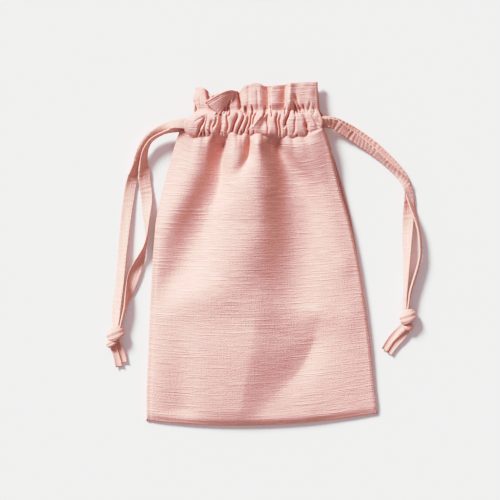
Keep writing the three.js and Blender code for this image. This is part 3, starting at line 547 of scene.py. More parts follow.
def creases(x, y):
    """Rise of the neck's lines: each fades at its ends and falls off as exp(-(distance / reach) ** power)."""
    total = np.zeros(x.shape)
    for from_x, from_y, to_x, to_y, left, right, rise, power in np.concatenate([NECK_LINES, pinches()]):
        step_x, step_y = to_x - from_x, to_y - from_y
        long = math.hypot(step_x, step_y)
        t = ((x - from_x) * step_x + (y - from_y) * step_y) / long ** 2
        away = ((y - from_y) * step_x - (x - from_x) * step_y) / long
        fade = smooth(0, 0.3, t) * smooth(1, 0.7, t)
        reach = np.where(away > 0, right, left) * (CREASE_WIDTH if rise < 0 else 1.0)
        total += rise * fade * np.exp(-(np.abs(away) / reach) ** power)
    return total


def folds(x, y):
    """Rise of the folds: each falls off from its line as exp(-(distance / reach) ** power)."""
    total = np.zeros(x.shape)
    place = np.stack([x.ravel(), y.ravel()], axis=1)
    for table in FOLDS.values():
        line = flowing(np.array(table), FOLD_STOPS)
        start, step = line[:-1, :2], np.diff(line[:, :2], axis=0)
        offset = place[:, None, :] - start[None]
        t = np.clip((offset * step).sum(2) / (step * step).sum(1), 0, 1)
        away = offset - t[..., None] * step
        far = np.linalg.norm(away, axis=2)
        nearest = far.argmin(axis=1)
        pick = np.arange(len(place)), nearest
        blend = t[pick][:, None]
        here = line[nearest] * (1 - blend) + line[nearest + 1] * blend
        side = step[nearest, 0] * away[pick][:, 1] - step[nearest, 1] * away[pick][:, 0]
        reach = np.where(side > 0, here[:, 3], here[:, 2])
        total += (here[:, 4] * np.exp(-(far[pick] / reach) ** here[:, 5])).reshape(x.shape)
    return total


def dome(across, square):
    """Section of the front: 1 in the middle, falling to 0 at the side seams as 1 - |t| ** square."""
    return 1 - np.abs(2 * across - 1) ** square


def body_dome(across, square, station):
    """Section of the body: as the dome, but falling gently to both sides and more square at the right.

    The fall to the right begins further out in the lower half, and fades where the section gets round,
    towards the neck. The last tenth of the right side rounds off a little more.
    """
    begin = RIGHT_BEGIN + RIGHT_BEGIN_LATER * smooth(*RIGHT_LOWER, station)
    flat = smooth(*ROUND_SQUARE, square)
    to_right = smooth(0, 1, (across - begin) / (1 - begin)) * flat
    to_edge = smooth(*RIGHT_EDGE, across) * flat
    to_left = smooth(*LEFT_FALL, across)
    level = 1 - RIGHT_SLOPE * to_right - RIGHT_ROUND * to_edge - LEFT_SLOPE * to_left
    return level * dome(across, np.where(across > 0.5, RIGHT_SQUARE * square, square))


def curl(across, seam):
    """Rise of the sides from the flat middle of the back to the side seam, as the square of the distance."""
    reach = np.clip(np.abs(2 * across - 1) - FLAT_HALF, 0, None) / (1 - FLAT_HALF)
    return seam * reach ** 2


def casing_base(across):
    """Height of the casing without its gathers: low at its ends, and level in the middle."""
    return CASING_EDGE_HEIGHT + (CASING_HEIGHT - CASING_EDGE_HEIGHT) * dome(across, CASING_SQUARE)


def bottom_edge(across):
    """Place of the bottom seam along the bag: a line between the corners that sags as a parabola."""
    low, high = BOTTOM_CORNERS
    return low + (high - low) * across - BOTTOM_SAG * 4 * across * (1 - across)


def ripples(x, y):
    """Slub lines as relief: waves along the bag, bent and weakened by noise, strongest at the upper right."""
    bend = 0.6 * wander(x / 90, y / 60, 3)
    coarse, fine = RIPPLE_STEPS
    waves = np.sin((y + bend) / coarse) + np.sin((y + 1.3 * bend) / fine + 1.0)
    away_x, away_y = (x - RIPPLE_PLACE[0]) / RIPPLE_REACH[0], (y - RIPPLE_PLACE[1]) / RIPPLE_REACH[1]
    strong = RIPPLE_LEAST + RIPPLE_MORE * np.exp(-away_x ** 2 - away_y ** 2)
    strength = strong * (0.6 + 0.4 * wander(x / 30, y / 12, 4))
    return strength * waves


def arc(turn, radius, first):
    """How far out and down an arc goes from its first angle."""
    bent = turn > 0
    out = radius * (np.sin(turn) - math.sin(first)) * bent
    down = radius * (math.cos(first) - np.cos(turn)) * bent
    return out, down


def rolled(count, angles):
    """Places across a cloth with rolled edges: each one's share, angle and side, and the arc's own angles."""
    turn = np.radians(np.linspace(*angles, ARC_STEPS))
    across = np.concatenate([np.zeros(ARC_STEPS), np.linspace(0, 1, count), np.ones(ARC_STEPS)])
    bend = np.concatenate([turn, np.zeros(count), turn[::-1]])
    side = np.concatenate([-np.ones(ARC_STEPS), np.zeros(count), np.ones(ARC_STEPS)])
    return across, bend, side, turn


def top_edge(x):
    """Place along the bag of the heading's top edge, at places across the neck."""
    return monotone(x, *TOP_EDGE.T)


def front_cloth(columns_count, rows, roll):
    """Outer surface of the front from the bottom seam to under the casing, as a grid of points.

    Across, the cloth goes from one side seam to the other. Its height is the section's dome, with the folds,
    and with small gathers next to the casing. At the sides and the bottom it rolls round to the back over an
    arc.
    """
    across, side_turn, side, turn = rolled(columns_count, FRONT_ARC)
    share = np.concatenate([np.zeros(ARC_STEPS), 1 - (1 - np.linspace(0, 1, rows)) ** ROW_CROWDING])
    end_turn = np.concatenate([turn, np.zeros(rows)])
    u, v = np.meshgrid(across, share)
    station = BOTTOM + (BODY_TOP - BOTTOM) * v
    left = section("left", station) + SIDE_OUT * roll
    right = section("right", station) - SIDE_OUT * roll
    x = left + (right - left) * u
    low = casing_row("low", x)
    start = bottom_edge(u) + BOTTOM_ROLL
    y = start + (CASING_LOW + UNDER_CASING - start) * v + (low - CASING_LOW) * smooth(BEND_FROM, 1.0, v)
    below = low - y
    z = curl(u, section("seam", station)) + FRONT_LIFT - BOTTOM_LOW * smooth(BOTTOM_EASE, 0, y - start)
    z = z + section("hollow", station) * body_dome(u, section("square", station), station)
    near = smooth(*FOLDS_BELOW, below) * smooth(*FOLDS_ABOVE, y - start)
    z = z + FOLD_DEPTH * folds(x, y) * near * dome(u, FOLDS_SQUARE)
    z = z + ripples(x, y) * smooth(*RIPPLE_BELOW, below)
    z = z + GATHER_DEPTH * gathers(x, below) * np.exp(-np.clip(below, 0, None) / GATHER_FADE)
    z = z - CASING_TUCK * smooth(0, -UNDER_CASING, below)
    from_seam = x - left - SEAM_INSET + SIDE_OUT * roll
    z = z - SEAM_DEPTH * np.exp(-(from_seam / SEAM_WIDTH) ** 2) * smooth(*SEAM_FADE, y)
    out, _ = arc(side_turn, SIDE_OUT * roll, turn[-1])
    _, down = arc(side_turn, roll, turn[-1])
    low_out, _ = arc(end_turn, BOTTOM_ROLL, turn[-1])
    _, low_down = arc(end_turn, BOTTOM_DROP, turn[-1])
    x = x + (side * out)[None]
    y = y - low_out[:, None]
    fall = np.maximum(down[None], low_down[:, None])
    least = CLEAR + CORNER_CLEAR * ((side_turn > 0)[None] & (end_turn > 0)[:, None])
    z = z - fall * np.minimum(1, (z - least) / fall.max())
    return np.stack([x, y, z], axis=2)


def neck_surface(u, w, h, out):
    """Places on the neck, at shares across it, up the casing and up the heading, before its edges roll over.

    Its height is a dome across, puffed between the two rows and falling through the heading, with the neck's
    lines on it. The last value moves the places out to the sides.
    """
    station = CASING_LOW + CASING_LONG * w + HEADING_LONG * h
    left = looked_up(NECK_SIDES, SIDE_COLUMNS, "left", station) + NECK_ROLL
    right = looked_up(NECK_SIDES, SIDE_COLUMNS, "right", station) - NECK_ROLL
    x = left + (right - left) * u + out
    low, high = casing_row("low", x), casing_row("high", x)
    top = top_edge(x)
    y = low + (high - low) * w + (top - high) * h
    drift = LINE_DRIFT - LINE_DRIFT_LESS * smooth(0, 0.4, h)
    drift = drift * wander(x / DRIFT_PITCH, y / DRIFT_PITCH, 31)
    lines = creases(x + drift, y) * dome(u, LINES_SQUARE)
    puff = CASING_PUFF * np.clip(dome(w, PUFF_SQUARE), 0, None) ** PUFF_FULL
    base = casing_base(u)
    z = base + puff + lines + HEADING_RISE * smooth(0, 5, (y - high) * (h > 0)) - HEADING_FALL * h
    z = z - HEM_GROOVE * np.exp(-((top - y - HEM_LINE) / 0.4) ** 2) * (h > 0)
    z = z + NECK_UNEVEN * wander(x / 8, y / 12, 21)
    z = np.maximum(z, base - CREASE_FLOOR - HEADING_FLOOR * smooth(0, 0.3, h))
    y = y - LOW_SCALLOP * (lines + 0.8) * np.exp(-((y - low) / SCALLOP_REACH) ** 2) * (w < 0.5)
    return x, y, z


def neck_cloth(columns_count, casing_rows, heading_rows):
    """The casing and the heading, from the lower row of stitches to the heading's top edge.

    The cloth rolls over an arc at its sides, under the casing's lower edge and over the top edge.
    """
    across, side_turn, side, turn = rolled(columns_count, NECK_ARC)
    arc_rows = np.zeros(ARC_STEPS)
    up_casing, up_heading = np.linspace(0, 1, casing_rows), np.linspace(0, 1, heading_rows + 1)[1:]
    casing = np.concatenate([arc_rows, up_casing, np.ones(heading_rows + ARC_STEPS)])
    heading = np.concatenate([arc_rows, np.zeros(casing_rows), up_heading, arc_rows + 1])
    low_turn = np.concatenate([turn, np.zeros(casing_rows + heading_rows + ARC_STEPS)])
    top_turn = np.concatenate([np.zeros(ARC_STEPS + casing_rows + heading_rows), turn[::-1]])
    u, w = np.meshgrid(across, casing)
    h = np.broadcast_to(heading[:, None], u.shape)
    out, down = arc(side_turn, NECK_ROLL, turn[-1])
    x, y, z = neck_surface(u, w, h, (side * out)[None])
    low_out, low_down = arc(low_turn, LOW_ROLL, turn[-1])
    top_out, top_down = arc(top_turn, TOP_ROLL, turn[-1])
    y = y + (top_out - low_out)[:, None]
    z = z - np.maximum(down[None], (low_down + top_down)[:, None])
    return np.stack([x, y, z], axis=2)


def front_hem(columns_count, rows):
    """Hem turned in at the heading's top edge: it follows the heading, then passes under the tape."""
    u, share = np.meshgrid(np.linspace(*FRONT_HEM_ACROSS, columns_count), np.linspace(*FRONT_HEM_ALONG, rows))
    x, y, z = neck_surface(u, np.clip(share, 0, 1), np.clip(share - 1, 0, 1), 0.0)
    under = HEM_UNDER + HEM_CROWN * dome(u, HEM_SQUARE) + HEM_UNEVEN * wander(x / 14, y / 40, 41)
    joined = smooth(0.6, 1.0, share)
    z = under * (1 - joined) + (z - HEM_BELOW) * joined
    return np.stack([x, y, z], axis=2)


def flap_cloth(columns_count, rows):
    """The folded corner: straight lines from its hemmed edge to its lower edge, a little bulged.

    The hemmed edge rolls over an arc, and two grooves follow it.
    """
    turn = np.radians(np.linspace(*NECK_ARC, ARC_STEPS))
    edges = flowing(FLAP, columns_count)
    upper, lower = edges[None, :, :3], edges[None, :, 3:]
    t = np.concatenate([np.zeros(ARC_STEPS), np.linspace(0, 1, rows)])[:, None]
    s = np.linspace(0, 1, columns_count)[None]
    points = upper + t[..., None] * (lower - upper)
    from_edge = t * np.linalg.norm(lower - upper, axis=2)
    grooves = sum(np.exp(-((from_edge - at) / GROOVE_WIDTH) ** 2) for at in FLAP_GROOVES)
    points[..., 2] += FLAP_BULGE * np.sin(math.pi * s) * np.sin(math.pi * t) - GROOVE_DEPTH * grooves
    along = unit(np.gradient(edges[:, :2], axis=0))
    out, down = arc(np.concatenate([turn, np.zeros(rows)]), TOP_ROLL, turn[-1])
    points[..., 0] -= out[:, None] * along[None, :, 1]
    points[..., 1] += out[:, None] * along[None, :, 0]
    points[..., 2] -= down[:, None]
    return points


def back_surface(u, v):
    """Places on the back's underside: flat on the surface, curled up at the sides, gathered at the neck."""
    station = BOTTOM + BACK_LONG * v
    left = looked_up(BACK_SIDES, SIDE_COLUMNS, "left", station)
    right = looked_up(BACK_SIDES, SIDE_COLUMNS, "right", station)
    x = left + (right - left) * u
    start = bottom_edge(u) + BACK_INSET
    y = start + (top_edge(x) - BACK_TOP_INSET - start) * v
    neck = smooth(*BACK_NECK, y)
    pleat = 0.5 + 0.5 * np.sin(2 * math.pi * (PLEATS * u + 0.4 * wander(3 * u, y / 90, 8)))
    seam = monotone(station, *BACK_SEAM.T)
    rows_at = np.exp(-(y - CASING_LOW) ** 2) + np.exp(-(y - CASING_LOW - CASING_LONG) ** 2)
    z = BACK_CLEAR + curl(u, seam) + PLEAT_HEIGHT * neck * pleat + ROW_HEIGHT * neck * np.clip(rows_at, 0, 1)
    return x, y, z


def back_cloth(columns_count, rows):
    """The back from the bottom seam to its top edge."""
    u, v = np.meshgrid(np.linspace(0, 1, columns_count), np.linspace(0, 1, rows))
    return np.stack(back_surface(u, v), axis=2)


def back_hem(columns_count, rows):
    """Hem turned in at the back's top edge: it lies on the back, and over the tape in the casing."""
    u, v = np.meshgrid(np.linspace(*BACK_HEM_ACROSS, columns_count), np.linspace(*BACK_HEM_ALONG, rows))
    x, y, z = back_surface(u, v)
    channel = np.clip(1 - np.abs((y - CHANNEL_MIDDLE) / CHANNEL_HALF) ** 4, 0, None) ** 0.5
    return np.stack([x, y, z + HEM_OVER + HEM_CHANNEL * channel], axis=2)


def tape_profile(sides):
    """Section of a folded tape for unit half width and half thickness: two flat faces with rounded edges.

    A groove follows the stitched edge on both faces.
    """
    across = np.cos(np.linspace(0, math.pi, sides))
    flat = np.clip(1 - np.abs(across) ** TAPE_SQUARE, 0, None) ** 0.5
    flat = flat - GROOVE_INTO * np.exp(-((across - STITCHED_EDGE) / GROOVE_SPREAD) ** 2)
    top = np.stack([across, flat], axis=1)
    under = np.stack([across[::-1], -flat[::-1]], axis=1)[1:-1]
    return np.concatenate([top, under])


def tape_frame(line):
    """Directions along, across and off a tape at its points: across is level, then turned about the first."""
    ahead = unit(np.gradient(line[:, :3], axis=0))
    level = unit(np.stack([-ahead[:, 1], ahead[:, 0], np.zeros(len(line))], axis=1))
    upright = np.cross(ahead, level)
    turn = np.radians(line[:, 3:4])
    wide = level * np.cos(turn) + upright * np.sin(turn)
    off = upright * np.cos(turn) - level * np.sin(turn)
    return ahead, wide, off


def tape_bend(line, across, seed):
    """How far the tape's middle layer stands off its line: a parabola for its cup, and puckers across it."""
    walked = distance(line)[:, None]
    cup = line[:, 5:6] * (across ** 2 - 0.5)
    drift = PUCKER_DRIFT * wander(walked / 14, across * 0.15, seed)
    pucker = line[:, 6:7] * np.sin(PUCKER_PITCH * walked + drift + PUCKER_LEAN * across)
    return cup + pucker


def level_frame(line):
    """Directions of a tape whose width stays along Y."""
    ahead = unit(np.gradient(line[:, :3], axis=0))
    wide = np.broadcast_to(np.array([0.0, 1.0, 0.0]), ahead.shape)
    return ahead, wide, np.cross(ahead, wide)


def tape_sweep(line, directions, thick, seed):
    """A tape carried along its line: its section at each stop's width, bent by its cup and puckers."""
    _, wide, off = directions
    ring = tape_profile(TAPE_SIDES)
    across = ring[None, :, 0]
    away = ring[None, :, 1] * thick / 2 + tape_bend(line, across, seed)
    side = across * line[:, 4:5] / 2
    return line[:, None, :3] + side[..., None] * wide[:, None] + away[..., None] * off[:, None]


def tape_stitches(line, thick, seed, length, radius):
    """Rows of stitches along the stitched edge, one on each face, as far as the knot."""
    _, wide, off = tape_frame(line)
    bend = tape_bend(line, np.array([[STITCHED_EDGE]]), seed)
    rows = []
    for face in (1, -1):
        edge = line[:, :3] + wide * line[:, 4:5] * STITCHED_EDGE / 2 + off * (bend + face * thick * 0.25)
        seam = np.concatenate([edge, face * off], axis=1)[: int(STITCHED_SHARE * len(line))]
        places, ahead = evenly(seam, length * STITCH_STEP)
        rows.append(stitch_row(places[:, :3], ahead, places[:, 3:], length, radius))
    return np.concatenate(rows)


def band(row, around, wide):
    """One wrapped band of a knot: an ellipse round the strands, slanted along them, its edges tucked in."""
    knot = dict(zip(BAND_COLUMNS, row))
    angle = np.linspace(0, 2 * math.pi, around, endpoint=False)[None, :]
    share = np.linspace(-1, 1, wide)[:, None]
    tuck = np.where(share > 0, knot["tuck_high"], knot["tuck_low"])
    swell = 1 - tuck * np.abs(share) ** 3 + BAND_WAVE * np.sin(8 * share + 1.6 * np.cos(angle))
    across = knot["across"] * swell * np.cos(angle)
    up = knot["up"] * swell * np.sin(angle)
    along = share * knot["wide"] / 2 * (1 - BAND_NARROW * np.cos(angle) ** 2) + knot["slant"] * np.cos(angle)
    c, s = math.cos(knot["turn"]), math.sin(knot["turn"])
    x = knot["x"] + across * c - along * s
    y = knot["y"] + across * s + along * c
    return np.stack([x, y, np.maximum(knot["z"] + up, BAND_CLEAR)], axis=2)


def sheet_faces(rows, cols, ring=False, flip=False):
    """Corner numbers of the quads of a grid; a ring joins its last column to its first."""
    j, i = np.meshgrid(np.arange(rows - 1), np.arange(cols if ring else cols - 1), indexing="ij")
    right = (i + 1) % cols
    quads = np.stack([j * cols + i, j * cols + right, (j + 1) * cols + right, (j + 1) * cols + i], axis=-1)
    quads = quads.reshape(-1, 4)
    return quads[:, ::-1] if flip else quads


def sheet_map(points, ring=False):
    """Places on the flat cloth, in metres: mean distance along the rows and across the columns."""
    looped = np.concatenate([points, points[:, :1]], axis=1) if ring else points
    across = np.linalg.norm(np.diff(looped, axis=1), axis=2).mean(axis=0)
    along = np.linalg.norm(np.diff(points, axis=0), axis=2).mean(axis=1)
    u = np.concatenate([[0], np.cumsum(across)]) * MM
    v = np.concatenate([[0], np.cumsum(along)]) * MM
    return u, v


def add_mesh(name, points, faces, places, material, caps=()):
    """A smooth mesh at the origin. places are the map's corners for the faces; caps get the map's origin."""
    mesh = bpy.data.meshes.new(name)
    mesh.from_pydata((points.reshape(-1, 3) * MM).tolist(), [], faces.tolist() + [list(cap) for cap in caps])
    mesh.validate()
    layer = mesh.uv_layers.new(name="cloth_map")
    spare = np.zeros((sum(len(cap) for cap in caps), 2))
    layer.data.foreach_set("uv", np.concatenate([places.reshape(-1, 2), spare]).ravel().astype(np.float32))
    mesh.polygons.foreach_set("use_smooth", np.ones(len(mesh.polygons), bool))
    mesh.materials.append(material)
    mesh.update()
    piece = bpy.data.objects.new(name, mesh)
    bpy.context.scene.collection.objects.link(piece)
    return piece


def add_grid(name, points, material, ring=False, flip=False, capped=False, turned=False):
    """A grid of points as a mesh. A ring is closed across its columns, and capped closes its two ends."""
    rows, cols = points.shape[:2]
    faces = sheet_faces(rows, cols, ring, flip)
    u, v = sheet_map(points, ring)
    j, i = np.meshgrid(np.arange(rows - 1), np.arange(cols if ring else cols - 1), indexing="ij")
    corners = [(i, j), (i + 1, j), (i + 1, j + 1), (i, j + 1)]
    places = np.stack([np.stack([u[a], v[b]], axis=-1) for a, b in corners], axis=2).reshape(-1, 4, 2)
    if turned:
        places = places[..., ::-1]
    if flip:
        places = places[:, ::-1]
    caps = ()
    if capped:
        first = list(range(cols))
        last = list(range((rows - 1) * cols, rows * cols))
        caps = (first[::-1], last) if not flip else (first, last[::-1])
    return add_mesh(name, points, faces, places, material, caps)


def thicken(piece, thickness):
    """Gives a cloth its thickness, inwards from its outer face."""
    wall = piece.modifiers.new("thickness", "SOLIDIFY")
    wall.thickness = thickness
    wall.offset = -1
    wall.use_even_offset = False
    return piece


def stitch_row(places, ahead, off, length, radius):
    """Stitches as short rounded threads: rings along each stitch, which dips into the cloth at its ends."""
    lengths = np.linspace(-1, 1, STITCH_RINGS)
    angles = np.linspace(0, 2 * math.pi, STITCH_SIDES, endpoint=False)
    beside = np.cross(ahead, off)
    size = radius * np.sqrt(np.clip(1 - np.abs(lengths) ** 4, 0.04, None))
    lift = radius * (0.5 - 1.6 * lengths ** 2)
    centre = places[:, None] + ahead[:, None] * (lengths * length / 2)[None, :, None]
    centre = centre + off[:, None] * lift[None, :, None]
    ring = (beside[:, None, None] * np.cos(angles)[None, None, :, None]
            + off[:, None, None] * np.sin(angles)[None, None, :, None])
    return centre[:, :, None] + ring * size[None, :, None, None]


def add_stitches(name, rings, material):
    """All stitches of a piece as one mesh of closed threads."""
    count, rows, cols = rings.shape[:3]
    one = sheet_faces(rows, cols, ring=True, flip=True)
    faces = (one[None] + (np.arange(count) * rows * cols)[:, None, None]).reshape(-1, 4)
    caps = []
    for k in range(count):
        base = k * rows * cols
        caps.append(list(range(base, base + cols)))
        caps.append(list(range(base + (rows - 1) * cols, base + rows * cols))[::-1])
    places = np.zeros((len(faces), 4, 2))
    return add_mesh(name, rings, faces, places, material, caps)


def evenly(line, step):
    """Points at even steps along a line of points, with their directions."""
    walked, route = distance(line), line[:, :3]
    at = np.arange(step / 2, walked[-1], step)
    ahead = between(at + STITCH_LOOK, walked, route) - between(at - STITCH_LOOK, walked, route)
    return between(at, walked, line), unit(ahead)


def link(tree, source, target):
    """Joins two sockets."""
    tree.links.new(source, target)


def add_node(tree, kind, **settings):
    """A node with its settings; a name that is an input's is set on that input."""
    node = tree.nodes.new(kind)
    for name, value in settings.items():
        if name in node.inputs:
            node.inputs[name].default_value = value
        else:
            setattr(node, name, value)
    return node


def streaks(tree, source, scale, detail, low, high):
    """Noise stretched by a Mapping node, brought to 0..1 between two limits."""
    place = add_node(tree, "ShaderNodeMapping", Scale=scale)
    link(tree, source, place.inputs["Vector"])
    noise = add_node(tree, "ShaderNodeTexNoise", Scale=1.0, Detail=detail, Roughness=0.55)
    link(tree, place.outputs["Vector"], noise.inputs["Vector"])
    span = add_node(tree, "ShaderNodeMapRange", **{"From Min": low, "From Max": high})
    link(tree, noise.outputs["Fac"], span.inputs["Value"])
    return span.outputs["Result"]


def added(tree, first, second, amount):
    """The first value plus an amount of the second, by Math nodes."""
    scaled = add_node(tree, "ShaderNodeMath", operation="MULTIPLY")
    link(tree, second, scaled.inputs[0])
    scaled.inputs[1].default_value = amount
    joined = add_node(tree, "ShaderNodeMath", operation="ADD")
    link(tree, first, joined.inputs[0])
    link(tree, scaled.outputs[0], joined.inputs[1])
    return joined.outputs[0]


def add_material(name, settings):
    """A material with its shader's settings; gives the material, its nodes and its shader."""
    material = bpy.data.materials.new(name)
    material.use_nodes = True
    tree = material.node_tree
    shader = tree.nodes["Principled BSDF"]
    for socket, value in settings.items():
        shader.inputs[socket].default_value = value
    return material, tree, shader


def two_tones(tree, shader, share, dark, light):
    """Gives the shader a colour between a dark and a light one, by a share."""
    mix = add_node(tree, "ShaderNodeMix", data_type="RGBA")
    mix.inputs[6].default_value = (*dark, 1)
    mix.inputs[7].default_value = (*light, 1)
    link(tree, share, mix.inputs[0])
    link(tree, mix.outputs[2], shader.inputs["Base Color"])


def cloth_material(name, colour, slub, sheen):
    """Slubbed plain weave on the cloth's own map: long uneven weft yarns, fine threads, and grain."""
    material, tree, shader = add_material(name, {
        "Roughness": 0.92, "Specular IOR Level": 0.15, "Sheen Weight": sheen, "Sheen Roughness": 0.45,
        "Sheen Tint": (1.0, 0.93, 0.88, 1.0)})
    place = add_node(tree, "ShaderNodeTexCoord").outputs["UV"]
    layers = {name: streaks(tree, place, scale, 2.0, *limits) for name, (scale, *limits) in WEAVE.items()}
    height = shade = layers["yarns"]
    for name, amount in RELIEF.items():
        height = added(tree, height, layers[name], amount)
    for name, amount in SHADE.items():
        shade = added(tree, shade, layers[name], amount)
    span = add_node(tree, "ShaderNodeMapRange", **{"From Max": SHADE_TOP})
    link(tree, shade, span.inputs["Value"])
    dark = [c * (1 - f * slub) for c, f in zip(colour, DARKER)]
    light = [min(1, c * (1 + f * slub)) for c, f in zip(colour, LIGHTER)]
    two_tones(tree, shader, span.outputs["Result"], dark, light)
    bump = add_node(tree, "ShaderNodeBump", Strength=RELIEF_STRENGTH * slub, Distance=RELIEF_DEPTH)
    link(tree, height, bump.inputs["Height"])
    link(tree, bump.outputs["Normal"], shader.inputs["Normal"])
    return material


def thread_material(name, colour):
    """Twisted sewing thread: fine light and dark bands on Object coordinates."""
    material, tree, shader = add_material(name, {"Roughness": 0.6})
    place = add_node(tree, "ShaderNodeTexCoord").outputs["Object"]
    twist = streaks(tree, place, (2500.0, 2500.0, 2500.0), 1.0, 0.35, 0.65)
    two_tones(tree, shader, twist, [c * 0.86 for c in colour], colour)
    return material


def finish_named(name):
    """The bag's finish of that name, made once from the colours of the scene."""
    if name in bpy.data.materials:
        return bpy.data.materials[name]
    colours = bpy.context.scene.bag_colours
    if name == "slubbed_cloth":
        return cloth_material(name, tuple(colours.cloth), 1.0, 0.25)
    if name == "folded_tape":
        return cloth_material(name, tuple(colours.tape), 0.7, 0.25)
    return thread_material(name, tuple(colours.thread))


def settle(piece, nodes=()):
    """Puts a piece on the frame and hides the nodes that it stands for."""
    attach(piece, "root")
    if nodes:
        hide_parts(*nodes)
    return piece


def add_cloth(name, points, node, flip=False, layers=1.0):
    """A cloth of the bag: its points fitted to the bag's sizes, with layers of cloth, on the frame."""
    sizes = bpy.context.scene.bag_sizes
    fit = np.array([sizes.width / TABLE_WIDTH, sizes.length / TABLE_LENGTH, 1.0])
    piece = add_grid(name, points * fit, finish_named("slubbed_cloth"), flip=flip)
    return settle(thicken(piece, layers * sizes.cloth), [node])


def length_property(name, description, default):
    """A property that holds a length in metres."""
    return bpy.props.FloatProperty(name=name, description=description, default=default, unit="LENGTH")


def colour_property(name, default):
    """A property that holds a colour."""
    return bpy.props.FloatVectorProperty(
        name=name, description=f"Colour of the {name.lower()}", default=default, size=3, subtype="COLOR")


class BagSizes(bpy.types.PropertyGroup):
    """Sizes of the bag's cloth, tape and thread."""

    width: length_property("Width", "Width of the bag at its bottom corners", FRONT_HIGH.x - FRONT_LOW.x)
    length: length_property(
        "Length", "Length of the bag from the bottom seam to the top of the heading",
        FRONT_HIGH.y - FRONT_LOW.y)
    cloth: length_property("Cloth", "Thickness of one layer of cloth", 0.0008)
    roll: length_property("Rolled Edge", "Radius of the cloth where it rolls over the seams", 0.0021)
    tape: length_property("Tape", "Width of the folded tape of the drawstrings", TAPE_WIDTH)
    tape_thickness: length_property("Tape Thickness", "Thickness of the folded tape", 0.0013)
    stitch: length_property("Stitch", "Length of one stitch", 0.0021)
    thread: length_property("Thread", "Radius of the sewing thread", 0.00022)


class BagColours(bpy.types.PropertyGroup):
    """Colours of the bag and of the floor."""

    cloth: colour_property("Cloth", (0.76, 0.475, 0.45))
    tape: colour_property("Tape", (0.75, 0.476, 0.442))
    thread: colour_property("Thread", (0.78, 0.53, 0.47))
    floor: colour_property("Floor", (0.72, 0.72, 0.75))


class BAG_OT_stage(bpy.types.Operator):
    """Makes the camera straight above the bag, the light from the upper left and the pale floor"""

    bl_idname = "bag.stage"
    bl_label = "Stage"

    def execute(self, context):
        scene = context.scene
        scene.view_settings.view_transform = "Standard"
        scene.view_settings.use_curve_mapping = True
        tones = scene.view_settings.curve_mapping
        for curve, points in ((3, TONES), (0, RED_TONES), (2, BLUE_TONES)):
            for at, value in points:
                tones.curves[curve].points.new(at, value)
        tones.curves[3].points[-1].location = TONES_END
        tones.extend = "EXTRAPOLATED"
        tones.update()
        camera = bpy.data.objects.new("camera", bpy.data.cameras.new("camera"))
        camera.location = CAMERA_PLACE
        camera.data.sensor_width = SENSOR
        camera.data.lens = SENSOR * CAMERA_PLACE[2] / PICTURE_WIDTH
        scene.collection.objects.link(camera)
        scene.camera = camera
        sun = bpy.data.objects.new("window", bpy.data.lights.new("window", "SUN"))
        sun.data.energy = SUN_ENERGY
        sun.data.angle = math.radians(SUN_SPREAD)
        sun.data.color = (1.0, 0.985, 0.925)
        sun.rotation_euler = (math.radians(SUN_TILT), 0, math.radians(SUN_HEADING))
        scene.collection.objects.link(sun)
        world = bpy.data.worlds.new("room")
        world.use_nodes = True
        sky = world.node_tree.nodes["Background"]
        sky.inputs["Color"].default_value = (0.95, 0.98, 1.0, 1.0)
        sky.inputs["Strength"].default_value = SKY_STRENGTH
        scene.world = world
        paper, _, _ = add_material("pale_floor", {
            "Roughness": 0.95, "Specular IOR Level": 0.0, "Base Color": (*scene.bag_colours.floor, 1),
            "Emission Color": (1, 1, 0.85, 1), "Emission Strength": FLOOR_GLOW})
        x, y = np.meshgrid([-FLOOR_HALF, FLOOR_HALF], [-FLOOR_HALF, FLOOR_HALF])
        floor = add_grid("floor", np.stack([x, y, 0 * x], axis=2) / MM, paper)
        return {"FINISHED"}


class BAG_OT_drawstrings(bpy.types.Operator):
    """Makes the free strands of tape with their stitches, the knots, and the stretches inside the casing"""

    bl_idname = "bag.drawstrings"
    bl_label = "Drawstrings"

    def execute(self, context):
        sizes = context.scene.bag_sizes
        tape = finish_named("folded_tape")
        thread = finish_named("sewing_thread")
        thick = sizes.tape_thickness / MM
        for name, rows in KNOTS.items():
            for number, row in enumerate(rows):
                grid = band(row, *BAND_GRID)
                piece = add_grid(f"{name}_band_{number + 1}", grid, tape, ring=True, flip=True, turned=True)
                thicken(piece, sizes.tape_thickness)
                settle(piece, [name])
        for seed, (name, table) in enumerate(STRANDS.items()):
            side, which = name.split("_")
            table = np.array(table)
            table[:, 4] *= sizes.tape / TAPE_WIDTH
            line = flowing(table, STRAND_STOPS)
            piece = add_grid(name + "_tape", tape_sweep(line, tape_frame(line), thick, seed), tape,
                             ring=True, capped=True, turned=True)
            settle(piece, [f"{side}_strand_{which}", f"{side}_tail_{which}"])
            rings = tape_stitches(line, thick, seed, sizes.stitch / MM, sizes.thread / MM)
            stitches = settle(add_stitches(name + "_stitches", rings, thread))
        for side, table in CHANNELS.items():
            line = flowing(np.array([(*place, *CHANNEL_TAPE) for place in table]), CHANNEL_STOPS)
            points = tape_sweep(line, level_frame(line), thick, CHANNEL_SEED)
            piece = add_grid(side + "_channel", points, tape, ring=True, capped=True, turned=True)
            settle(piece, [side + "_channel_tape"])
        return {"FINISHED"}


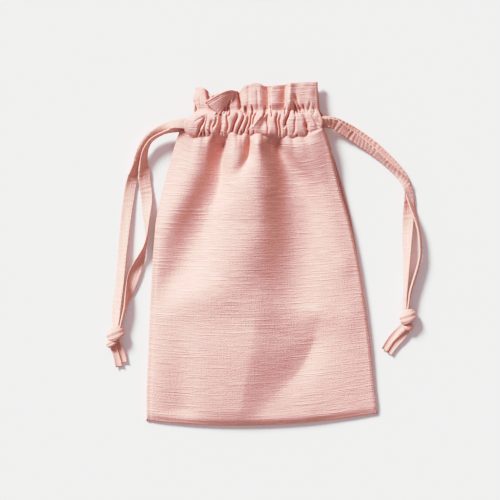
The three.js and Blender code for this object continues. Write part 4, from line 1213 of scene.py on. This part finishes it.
class BAG_OT_front(bpy.types.Operator):
    """Makes the front cloth with its folds, the gathered casing and heading, the folded corner and the hem"""

    bl_idname = "bag.front"
    bl_label = "Front Cloth"

    def execute(self, context):
        roll = context.scene.bag_sizes.roll / MM
        front = add_cloth("front_panel_cloth", front_cloth(*FRONT_GRID, roll), "front_panel")
        neck = add_cloth("neck_cloth", neck_cloth(*NECK_GRID), "front_panel")
        flap = add_cloth("flap_cloth", flap_cloth(*FLAP_GRID), "front_hem", flip=True, layers=FLAP_LAYERS)
        hem = add_cloth("front_hem_cloth", front_hem(*FRONT_HEM_GRID), "front_hem")
        return {"FINISHED"}


class BAG_OT_back(bpy.types.Operator):
    """Makes the back cloth that lies on the surface, and its hem turned in behind the casing"""

    bl_idname = "bag.back"
    bl_label = "Back Cloth"

    def execute(self, context):
        back = add_cloth("back_panel_cloth", back_cloth(*BACK_GRID), "back_panel", flip=True)
        hem = add_cloth("back_hem_cloth", back_hem(*BACK_HEM_GRID), "back_hem", flip=True)
        return {"FINISHED"}


class BAG_PT_sidebar(bpy.types.Panel):
    """Lists the bag's sizes, colours and pieces"""

    bl_label = "Drawstring Bag"
    bl_idname = "BAG_PT_sidebar"
    bl_space_type = "VIEW_3D"
    bl_region_type = "UI"
    bl_category = "Bag"

    def draw(self, context):
        for group in (context.scene.bag_sizes, context.scene.bag_colours):
            box = self.layout.box()
            for name in group.__annotations__:
                box.prop(group, name)
        for maker in OPERATORS:
            self.layout.operator(maker.bl_idname)


OPERATORS = (BAG_OT_stage, BAG_OT_drawstrings, BAG_OT_front, BAG_OT_back)
CLASSES = (BagSizes, BagColours, *OPERATORS, BAG_PT_sidebar)


def register():
    """Registers the classes and hangs the sizes and colours on the scene."""
    for each in CLASSES:
        bpy.utils.register_class(each)
    bpy.types.Scene.bag_sizes = bpy.props.PointerProperty(type=BagSizes)
    bpy.types.Scene.bag_colours = bpy.props.PointerProperty(type=BagColours)


def unregister():
    """Takes away what register added."""
    del bpy.types.Scene.bag_sizes
    del bpy.types.Scene.bag_colours
    for each in reversed(CLASSES):
        bpy.utils.unregister_class(each)


def main():
    """Makes the whole bag."""
    register()
    bpy.ops.bag.stage()
    bpy.ops.bag.drawstrings()
    bpy.ops.bag.front()
    bpy.ops.bag.back()


if __name__ == "__main__":
    main()
